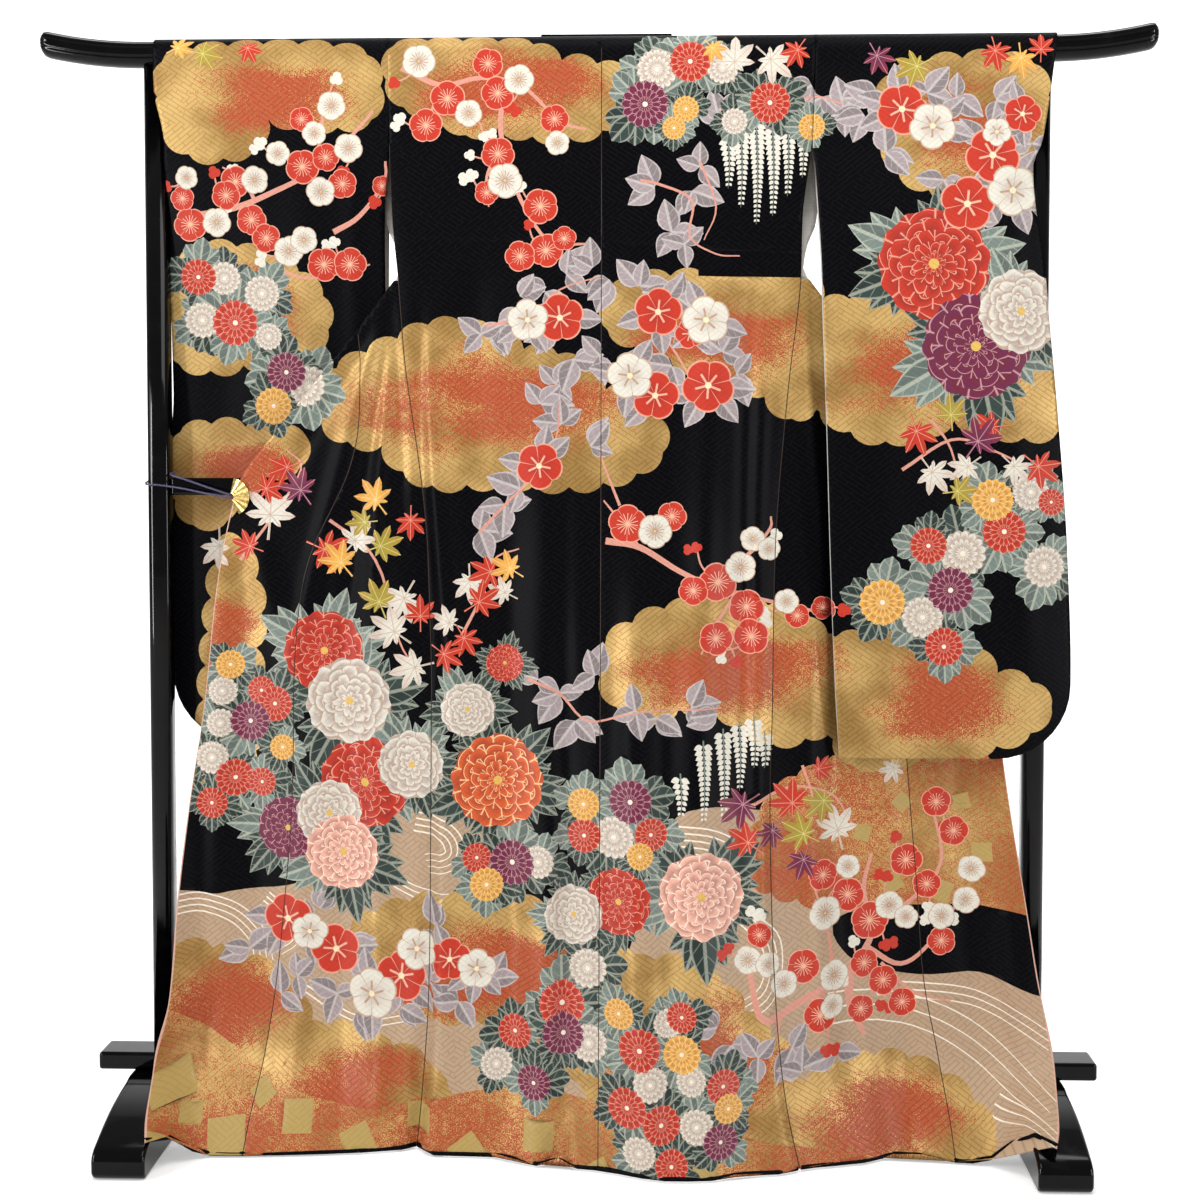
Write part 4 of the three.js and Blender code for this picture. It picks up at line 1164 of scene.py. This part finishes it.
def makePanel(name, left, right, heights, place, way, creases=()):
    heights = np.asarray(sorted(heights), float)
    outline = np.vstack([
        np.column_stack([right(heights), heights]),
        np.column_stack([left(heights), heights])[::-1],
    ])
    points = [tuple(p) for p in outline]
    faces = [list(range(len(points)))]
    used = [None]
    low, high = outline.min(axis=0), outline.max(axis=0)
    for shape in shapes:
        if shape["only"] and not name.startswith(shape["only"]):
            continue
        if np.all(shape["high"] > low - 2) and np.all(shape["low"] < high + 2):
            start = len(points)
            points += [tuple(p) for p in shape["points"]]
            faces.append(list(range(start, len(points))))
            used.append(shape)
    step = cloth["grid"]
    rows = np.arange(low[1] + step / 2, high[1], step * 0.87)
    for k, row in enumerate(rows):
        a, b = float(left(row)), float(right(row))
        xs = np.arange(a + step * (0.5 if k % 2 else 0.95), b - step * 0.4, step)
        points += [(x, row) for x in xs]
    for x0, h0, x1, h1, width, height in creases:
        if width < 6:            # a pressed line needs points of its own
            run = math.hypot(x1 - x0, h1 - h0)
            for t in np.arange(0, 1, 9 / run):
                for off in (-2, -1, 0, 1, 2):
                    x = mix(x0, x1, t) - off * width * (h1 - h0) / run
                    h = mix(h0, h1, t) + off * width * (x1 - x0) / run
                    if low[1] < h < high[1] and float(left(h)) + 2 < x < float(right(h)) - 2:
                        points.append((x, h))
    found = geometry.delaunay_2d_cdt([Vector(p) for p in points], [], faces, 1, 0.02, True)
    corners = np.array([tuple(v) for v in found[0]])
    keep, top = [], []
    for face, ids in zip(found[2], found[5]):
        if 0 in ids and len(face) == 3:
            keep.append(face if way < 0 else (face[0], face[2], face[1]))
            top.append(max(ids))
    keep, top = np.array(keep), np.array(top)
    live, index = np.unique(keep, return_inverse=True)
    keep = index.reshape(-1, 3)
    flat = corners[live]
    x, y, z = place(flat[:, 0], flat[:, 1])
    mesh = bpy.data.meshes.new(name)
    mesh.from_pydata(np.column_stack([x, y, z]) / 1000, [], keep.tolist())
    for dye in dyeNames:
        mesh.materials.append(dyes[dye])
    mesh.polygons.foreach_set("material_index", [used[k]["dye"] if k else 0 for k in top])
    mesh.polygons.foreach_set("use_smooth", [True] * len(keep))
    clothUv = mesh.uv_layers.new(name="cloth")
    clothUv.data.foreach_set("uv", (flat[keep.ravel()] / 1000).ravel())
    motifUv = mesh.uv_layers.new(name="motif")
    spots = np.zeros((len(keep), 3, 2))
    tone = np.ones((len(keep), 3, 4))
    line = np.ones((len(keep), 3, 4))
    for k in np.unique(top):
        if k == 0:
            continue
        mine = top == k
        shape = used[k]
        offset = flat[keep[mine]] - np.array(shape["centre"])
        c, s = math.cos(-shape["turn"]), math.sin(-shape["turn"])
        spots[mine, :, 0] = (offset[..., 0] * c - offset[..., 1] * s) / shape["size"]
        spots[mine, :, 1] = (offset[..., 0] * s + offset[..., 1] * c) / shape["tall"]
        tone[mine, :, :3] = shape["tone"]
        line[mine, :, :3] = shape["line"]
    motifUv.data.foreach_set("uv", spots.ravel())
    for label, values in (("tone", tone), ("line", line)):
        layer = mesh.color_attributes.new(label, "FLOAT_COLOR", "CORNER")
        layer.data.foreach_set("color", values.ravel())
    mesh.validate()
    panel = bpy.data.objects.new(f"silk_{name}", mesh)
    scene.collection.objects.link(panel)
    shell = panel.modifiers.new("thickness", "SOLIDIFY")
    shell.thickness = cloth["shell"] / 1000
    shell.offset = -1
    shell.material_offset = len(dyeNames)
    shell.material_offset_rim = 0
    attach(panel, "root")
    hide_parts(name)
    print("cloth:", name, len(keep), "faces")
    return panel


def spaced(low, high, step=12.0):
    return np.linspace(low, high, max(2, round((high - low) / step)) + 1)


overRail = spaced(cloth["railHeight"], cloth["railHeight"] + arcLength, 6)[1:]


def back(name, edge, out, creases):
    hemEdge = float(side(edge, 0))
    centre, lap = cloth["centre"], cloth["lap"] if out > 0 else 0

    def inner(h):
        return centre - lap + 0 * h

    def outer(h):
        return side(edge, h)

    def place(x, h):
        share = (x - outer(h)) / (centre - outer(h))
        forward = hemForward("forward", mix(hemEdge, centre, np.clip(share, 0, 1)))
        depth = backDepth(forward, h) + backFolds(x, h)
        if lap:
            depth = depth - lapped(x, centre, -1)
        return hung(x, h, -depth, -1)
    left, right = (outer, inner) if out < 0 else (inner, outer)
    heights = np.concatenate([spaced(cloth["hem"], cloth["railHeight"]), overRail])
    return makePanel(name, left, right, heights, place, -1, creases)


def backFolds(x, h):
    seams = grooved(x, (cloth["centre"], side("left", h), side("right", h)))
    folds = creased(x, h, backCreases["left"] + backCreases["right"]) + drift(x, h, *cloth["backDrift"])
    return ease((1500 - h) / 250) * ease((h + 10) / 80) * (folds + seams)


def swung(name, edge, outline, seam, toSeam, bottom, top, creases):
    # a front that is swung out; seam and toSeam give its two side edges as X at a height
    out = -1 if edge == "left" else 1
    hemEdge = float(side(edge, 0))

    def fromSeam(h):
        return seam(h) - out * cloth["lap"]

    def place(x, h):
        width = outline("edge", h) - side(edge, h)
        u = np.clip((x - side(edge, h)) / np.where(np.abs(width) < 1, out, width), 0, 1)
        hemX = mix(hemEdge, outline("edge", 0), u)
        rise = outline("rise", h)
        sideDepth = backDepth(hemForward("forward", hemEdge), h)
        base = mix(outline("forward", h), sideDepth - rise, (1 - u) ** 2)
        hemDepth = backDepth(hemForward("forward", hemEdge), 0)
        base0 = mix(outline("forward", 0), hemDepth - outline("rise", 0), (1 - u) ** 2)
        past = (np.abs(x) - np.abs(outline("pleat", h))) / 8
        ripple = (hemForward("forward", hemX) - base0) * np.clip(1 - h / 700, 0, 1) ** 1.6
        level = np.clip((h - cloth["hem"]) / 138, 0, 1)
        lift = hemLift("lift", hemX) * (1 - level) ** 2
        depth = base + rise * (1 - ease(past)) + ripple
        folds = creased(x, h, creases) + drift(x, h, *cloth["frontDrift"]) * ease((1200 - h) / 200)
        folds = folds * ease((np.hypot(x - clipAt[0], h - clipAt[1]) - 45) / 70) * ease((h + 10) / 80)
        folds = folds + grooved(x, (outline("overlapSeam", h),))
        beside = ease(1 - np.abs(x - side(edge, h)) / 45)
        folds = mix(folds, backFolds(side(edge, h), h), beside)
        depth = depth + folds - lapped(x, seam(h), -out)
        x, y, z = hung(x, h, -depth, -1)
        return x, y, z + lift
    left, right = (toSeam, fromSeam) if out < 0 else (fromSeam, toSeam)
    return makePanel(name, left, right, spaced(bottom, top), place, -1, creases)


def upper(name, edge, outline, swungOutline, part, plan):
    # behind the rail, from the shoulder down to the turned edge; its face is toward +Y
    out = -1 if edge == "left" else 1

    def outerAt(h):
        turned = swungOutline("edge", h) - out * 1.5
        below = np.where(h >= heightOf["armholeEnd"], outline("armhole", h), turned)
        return np.where(h >= heightOf["armholeTop"], side(edge, h), below)

    def place(x, h):
        turnedBack = cloth["wall"] + 0.3 - swungOutline("forward", h)
        outerBack = np.where(h >= heightOf["armholeEnd"], outline("armholeBack", h), turnedBack)
        span = outline("collar", h) - outerAt(h)
        share = np.clip((x - outerAt(h)) / np.where(np.abs(span) < 1, -out, span), 0, 1)
        y = mix(outerBack, outline("collarBack", h), share)
        return hung(x, h, y, 1)

    def collarAt(h):
        return outline("collar", h)

    def frontTo(h):
        return np.where(h > heightOf["collarEnd"], collarAt(h), outline("overlapSeam", h))

    def overlapFrom(h):
        return np.where(h >= heightOf["overlapSeamTop"], outline("overlapSeam", h), outerAt(h))
    if part == "front":
        ends = (outerAt, frontTo)
        heights = np.concatenate([spaced(heightOf["overlapSeamTop"], cloth["railHeight"]), overRail])
    else:
        ends = (overlapFrom, collarAt)
        heights = spaced(heightOf["overlapEnd"], heightOf["collarEnd"])
    left, right = ends if out < 0 else ends[::-1]
    return makePanel(name, left, right, heights, place, 1)


sleeves = {"bottom": 560.0, "corner": 104.0, "closing": 90.0, "wider": 5.0}


def sleeve(name, edge, outline, layer, creases):
    out = -1 if edge == "left" else 1
    way = -1 if layer == "near" else 1
    bottom, radius, reach = sleeves["bottom"], sleeves["corner"], sleeves["closing"]
    column = "farOuter" if layer == "far" else "outer"

    def outerAt(h):
        rise = np.clip((bottom + radius - h) / radius, 0, 1)
        wider = sleeves["wider"] * ease((1480 - h) / 80) if edge == "left" else 0.0
        return outline(column, h) + out * wider - out * radius * (1 - np.sqrt(1 - rise * rise))

    def innerAt(h):
        return np.where(h >= heightOf["armholeTop"], side(edge, h), outline("inner", h))

    def place(x, h):
        openY = -outline(layer, h)
        closedY = way * (cloth["wall"] + 0.3) / 2 - outline("edge", h)
        shut = ease((1356 + 64 - h) / 64)
        atEdge = shut * np.clip(1 - np.abs(x - outerAt(h)) / reach, 0, 1) ** 2
        atBottom = np.clip(1 - (h - bottom) / reach, 0, 1) ** 2
        y = mix(openY, closedY, np.maximum(atEdge, atBottom))
        hanging = ease((1500 - h) / 250) * (1 - np.maximum(atEdge, atBottom))
        folds = creased(x, h, creases) * (1 if way < 0 else 0.5)
        y = y - hanging * (folds + drift(x, h, *cloth["sleeveDrift"]))
        return hung(x, h, y, way)
    left, right = (outerAt, innerAt) if out < 0 else (innerAt, outerAt)
    turn = np.linspace(0, math.pi / 2, 10)
    corner = bottom + radius * (1 - np.cos(turn))
    heights = np.concatenate([corner, spaced(bottom + radius, cloth["railHeight"])[1:], overRail])
    return makePanel(name, left, right, heights, place, way, creases)


clipAt = (-524, 926)     # the cloth lies still under the clip
# Creases of each side, from x0, h0 to x1, h1: how wide and how far they stand out.
backCreases = {
    "left": [(-285, 1296, 10, 1292, 3.2, 1.4), (-200, 700, -210, 40, 22, 8), (-120, 900, -95, 40, 26, -7),
             (-50, 520, -42, 20, 14, 8), (-20, 640, -15, 20, 20, -6), (-170, 1240, -150, 820, 24, -5),
             (-60, 1260, -48, 760, 28, 4), (-248, 1180, -215, 620, 12, -6), (-236, 1150, -205, 700, 9, 5)],
    "right": [(14, 1288, 295, 1276, 3.2, 1.4), (60, 760, 78, 20, 20, 9), (110, 700, 118, 20, 18, -8),
              (160, 900, 176, 40, 22, 7), (216, 820, 226, 40, 16, -7), (243, 1100, 240, 300, 11, 6),
              (226, 1220, 222, 640, 12, -6), (120, 1250, 104, 820, 28, -5), (180, 1240, 166, 760, 22, 5)],
}
frontCreases = {
    "left": [(-286, 1232, -430, 700, 14, 7), (-284, 1222, -372, 560, 11, -6), (-282, 1210, -322, 480, 9, 6),
             (-292, 1200, -480, 880, 12, -5), (-505, 936, -380, 520, 22, 7), (-520, 900, -470, 200, 24, -7),
             (-520, 900, -545, 200, 20, 6), (-300, 640, -300, 40, 16, 8), (-345, 620, -360, 40, 20, -7),
             (-410, 560, -425, 40, 22, 6), (-560, 500, -570, 100, 18, -5)],
    "right": [(306, 1236, 340, 820, 10, 3), (310, 760, 330, 120, 14, 6), (350, 640, 375, 60, 18, -7),
              (420, 620, 440, 60, 18, 7), (520, 700, 560, 120, 20, -6), (590, 520, 610, 100, 15, 6)],
}
sleeveCreases = {
    "left": [(-600, 1296, -330, 1290, 4, 0.8), (-420, 1420, -400, 700, 30, 3),
             (-540, 1420, -520, 640, 34, -3), (-345, 1400, -335, 900, 14, 2),
             (-500, 830, -330, 826, 4, 0.8)],
    "right": [(335, 800, 650, 806, 3.5, 1.3), (420, 1420, 410, 640, 30, 3), (520, 1440, 540, 600, 30, -3),
              (595, 1420, 610, 700, 20, 3), (350, 1250, 352, 640, 12, -2.5), (330, 1300, 630, 1296, 4, 0.8)],
}
hungOn = ["rail"]
plans = {
    "back_left": {"flat": (0.31, 1.60), "area": 0.45, "on": hungOn,
                  "with": ["hem_back_left", "collar_back"]},
    "back_right": {"flat": (0.31, 1.60), "area": 0.446, "on": hungOn, "with": ["hem_back_right"]},
    "front_left": {"flat": (0.25, 1.25), "area": 0.228, "on": ["fan_clip"], "with": ["hem_front_left"]},
    "overlap_left": {"flat": (0.175, 1.18), "area": 0.169, "on": ["fan_clip"],
                     "with": ["hem_overlap_left"]},
    "front_right": {"flat": (0.25, 1.25), "area": 0.23, "on": ["back_right"], "with": ["hem_front_right"]},
    "overlap_right": {"flat": (0.175, 1.18), "area": 0.165, "on": ["back_right"],
                      "with": ["hem_overlap_right"]},
    "front_upper_left": {"flat": (0.225, 0.44), "area": 0.074, "on": hungOn, "with": ["collar_left"]},
    "front_upper_right": {"flat": (0.225, 0.44), "area": 0.068, "on": hungOn, "with": ["collar_right"]},
    "overlap_upper_left": {"flat": (0.135, 0.56), "area": 0.042, "on": ["fan_clip"]},
    "overlap_upper_right": {"flat": (0.135, 0.56), "area": 0.04, "on": ["back_right"]},
    "sleeve": {"flat": (0.345, 1.04), "area": 0.333, "on": hungOn},
}

# The collar band and the padded hem keep their solids' form, with soft edges and the same silk.
band = {"edge": 0.7, "hemReach": 1.6, "wadding": 0.7}


def welded(name):
    mesh = nodes[name].data.copy()
    whole = bmesh.new()
    whole.from_mesh(mesh)
    bmesh.ops.remove_doubles(whole, verts=whole.verts, dist=0.00002)
    whole.to_mesh(mesh)
    whole.free()
    return mesh


def softened(name, reach=0.0):
    mesh = welded(name)
    places = np.zeros(3 * len(mesh.vertices))
    mesh.vertices.foreach_get("co", places)
    places = places.reshape(-1, 3)
    low, high = places[:, 0].min(), places[:, 0].max()
    places[:, 0] += (places[:, 0] - (low + high) / 2) / (high - low) * 2 * reach / 1000
    mesh.vertices.foreach_set("co", places.ravel())
    mesh.materials.clear()
    mesh.materials.append(dyes["ground"])
    mesh.polygons.foreach_set("material_index", [0] * len(mesh.polygons))
    mesh.polygons.foreach_set("use_smooth", [True] * len(mesh.polygons))
    corner = np.zeros(len(mesh.loops), int)
    mesh.loops.foreach_get("vertex_index", corner)
    clothUv = mesh.uv_layers.new(name="cloth")
    clothUv.data.foreach_set("uv", places[corner][:, (0, 2)].ravel())
    piece = bpy.data.objects.new(f"silk_{name}", mesh)
    scene.collection.objects.link(piece)
    edge = piece.modifiers.new("soft edge", "BEVEL")
    edge.width = band["edge"] / 1000
    edge.segments = 2
    edge.limit_method = "ANGLE"
    edge.angle_limit = math.radians(40)
    piece.modifiers.new("even", "WEIGHTED_NORMAL")
    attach(piece, "root")
    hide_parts(name)


for name in nodes:
    if name.startswith("hem_"):
        softened(name, band["hemReach"])
    elif name.startswith("collar_"):
        softened(name)
print("collar and hem made")

back("back_left", "left", -1, backCreases["left"])
back("back_right", "right", 1, backCreases["right"])
for edge, outline in (("left", frontLeft), ("right", frontRight)):
    def sideSeam(h):
        return side(edge, h)

    def overlapSeam(h):
        return np.where(h >= heightOf["overlapSeamTop"], outline("edge", h), outline("overlapSeam", h))

    def frontEdge(h):
        return outline("edge", h)
    for name, seam, toSeam, top in (
        (f"front_{edge}", sideSeam, overlapSeam, heightOf["frontTop"]),
        (f"overlap_{edge}", overlapSeam, frontEdge, heightOf["overlapTop"]),
    ):
        swung(name, edge, outline, seam, toSeam, cloth["hem"], top, frontCreases[edge])
for edge, outline, swungOutline in (("left", upperLeft, frontLeft), ("right", upperRight, frontRight)):
    for part in ("front", "overlap"):
        name = f"{part}_upper_{edge}"
        upper(name, edge, outline, swungOutline, part, plans[name])
for edge, outline in (("left", sleeveLeft), ("right", sleeveRight)):
    for layer in ("near", "far"):
        sleeve(f"sleeve_{edge}_{layer}", edge, outline, layer, sleeveCreases[edge])

nodes["fan_clip"].data.materials.clear()
nodes["fan_clip"].data.materials.append(giltFinish())

# The tie leaves the fan, goes once round the post above the bar, and comes back to the fan.
tieMesh = welded("tie_cord")
tieMesh.polygons.foreach_set("use_smooth", [True] * len(tieMesh.polygons))
tieMesh.materials.clear()
tieMesh.materials.append(cordFinish())
tiePiece = bpy.data.objects.new("purple_tie", tieMesh)
scene.collection.objects.link(tiePiece)
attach(tiePiece, "root")
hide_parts("tie_cord")
print("clip and tie made")

lacquer = lacquerFinish()


def lacquered(name, points, faces, rounded=0.0):
    mesh = bpy.data.meshes.new(name)
    mesh.from_pydata([tuple(np.array(p) / 1000) for p in points], [], faces)
    mesh.polygons.foreach_set("use_smooth", [True] * len(faces))
    mesh.materials.append(lacquer)
    piece = bpy.data.objects.new(f"lacquer_{name}", mesh)
    scene.collection.objects.link(piece)
    if rounded:
        edge = piece.modifiers.new("rounded", "BEVEL")
        edge.width = rounded / 1000
        edge.segments = 5
        edge.limit_method = "ANGLE"
        edge.angle_limit = math.radians(35)
        piece.modifiers.new("even", "WEIGHTED_NORMAL")
    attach(piece, "root")
    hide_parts(name)
    return piece


def ringBody(rings):
    sides = len(rings[0])
    points = [p for ring in rings for p in ring]
    faces = []
    for start in range(0, (len(rings) - 1) * sides, sides):
        for k in range(sides):
            ahead = (k + 1) % sides
            faces.append((start + k, start + ahead, start + sides + ahead, start + sides + k))
    faces.append(tuple(reversed(range(sides))))
    faces.append(tuple(range(len(points) - sides, len(points))))
    return points, faces


stand = {
    "railHeight": 1565.0, "railHalf": (22.0, 19.0), "railLength": 802.0, "tipStart": 650.0, "tipRise": 18.0,
    "groove": 1.3, "grooveAt": (152, 176, 200), "grooveWide": 5.0,
    "postX": 634.0, "post": 33.0, "board": (1454.0, 56.0, 84.0, 110.0),
    "bar": (1234.4, 18.0, 928.0, 953.0), "footX": 640.0, "foot": 74.0, "footHalf": 225.0,
}


def makeRail():
    rings = []
    sides = 72
    half = stand["railLength"]
    deep, tall = stand["railHalf"]
    for s in np.linspace(-1, 1, 97):
        x = half * np.sign(s) * (1 - (1 - abs(s)) ** 1.5)
        past = max(0.0, abs(x) - stand["tipStart"]) / (half - stand["tipStart"])
        end = max(0.0, abs(x) - (half - 12)) / 12
        size = math.sqrt(max(0.02, 1 - end ** 2.4))
        middle = stand["railHeight"] + stand["tipRise"] * past ** 2
        ring = []
        for k in range(sides):
            turn = 2 * math.pi * k / sides
            away = [(math.degrees(turn) - at) / stand["grooveWide"] for at in stand["grooveAt"]]
            groove = sum(math.exp(-gap ** 2) for gap in away)
            reach = size * (1 - stand["groove"] * groove / 20)
            ring.append((x, deep * reach * math.cos(turn), middle + tall * reach * math.sin(turn)))
        rings.append(ring)
    lacquered("rail", *ringBody(rings))


def makePost(name, x):
    half = stand["post"] / 2
    ring = []
    for k in range(64):
        turn = 2 * math.pi * (k + 0.5) / 64
        c, s = math.cos(turn), math.sin(turn)
        reach = (abs(c) ** 3.6 + abs(s) ** 3.6) ** (-1 / 3.6)
        ring.append((reach * c, reach * s))
    wide = max(abs(p[0]) for p in ring)
    low, high = stand["board"][3] + 0.3, stand["railHeight"] - stand["railHalf"][1] - 0.3
    rings = [[(x + half * a / wide, half * b / wide, z) for a, b in ring] for z in (low, high)]
    lacquered(name, *ringBody(rings))


def makeBox(name, length, depth, low, high, rounded):
    section = [(-depth / 2, low), (depth / 2, low), (depth / 2, high), (-depth / 2, high)]
    ends = [[(x, y, z) for y, z in section] for x in (-length / 2, length / 2)]
    lacquered(name, *ringBody(ends), rounded)


def makeFoot(name, x):
    half, top = stand["footHalf"], stand["board"][2] - 0.3
    side = [(-half, 8), (-half, 26), (-half + 3, 34), (-half + 12, 41)]
    for t in np.linspace(0.1, 1, 14):
        side.append((mix(-half + 12, -60, t), mix(41, 80, t) + 7 * math.sin(math.pi * t)))
    side += [(-50, top - 0.6), (-34, top)]
    outline = [(-half + 8, 0)] + side + [(-y, z) for y, z in reversed(side)] + [(half - 8, 0)]
    rings = [[(x + way * stand["foot"] / 2, y, z) for y, z in outline] for way in (-1, 1)]
    lacquered(name, *ringBody(rings), 5.0)


makeRail()
makePost("post_left", -stand["postX"])
makePost("post_right", stand["postX"])
makeBox("middle_bar", *stand["bar"], 4.0)
makeBox("lower_board", *stand["board"], 5.0)
makeFoot("foot_left", -stand["footX"])
makeFoot("foot_right", stand["footX"])
print("stand made")

# a pale sweep: floor, a wide curve, and the wall behind
sweep = {"near": -7.0, "curveAt": 2.6, "radius": 2.2, "top": 7.0, "half": 9.0, "tone": 0.9, "glow": 0.28}
bend = [math.radians(a) for a in range(0, 91, 6)]
profile = [(sweep["near"], 0.0)]
for turn in bend:
    y = sweep["curveAt"] + sweep["radius"] * math.sin(turn)
    profile.append((y, sweep["radius"] * (1 - math.cos(turn))))
profile += [(sweep["curveAt"] + sweep["radius"], sweep["top"])]
corners = [(way * sweep["half"], y, z) for y, z in profile for way in (-1, 1)]
strips = [(2 * k, 2 * k + 1, 2 * k + 3, 2 * k + 2) for k in range(len(profile) - 1)]
floorMesh = bpy.data.meshes.new("floor")
floorMesh.from_pydata(corners, [], strips)
floorMesh.polygons.foreach_set("use_smooth", [True] * len(strips))
floorMesh.materials.append(newFinish(
    "floor", (sweep["tone"],) * 3, 0.8, Emission_Strength=sweep["glow"], Emission_Color=(1, 1, 1, 1),
))
floor = bpy.data.objects.new("floor", floorMesh)
scene.collection.objects.link(floor)
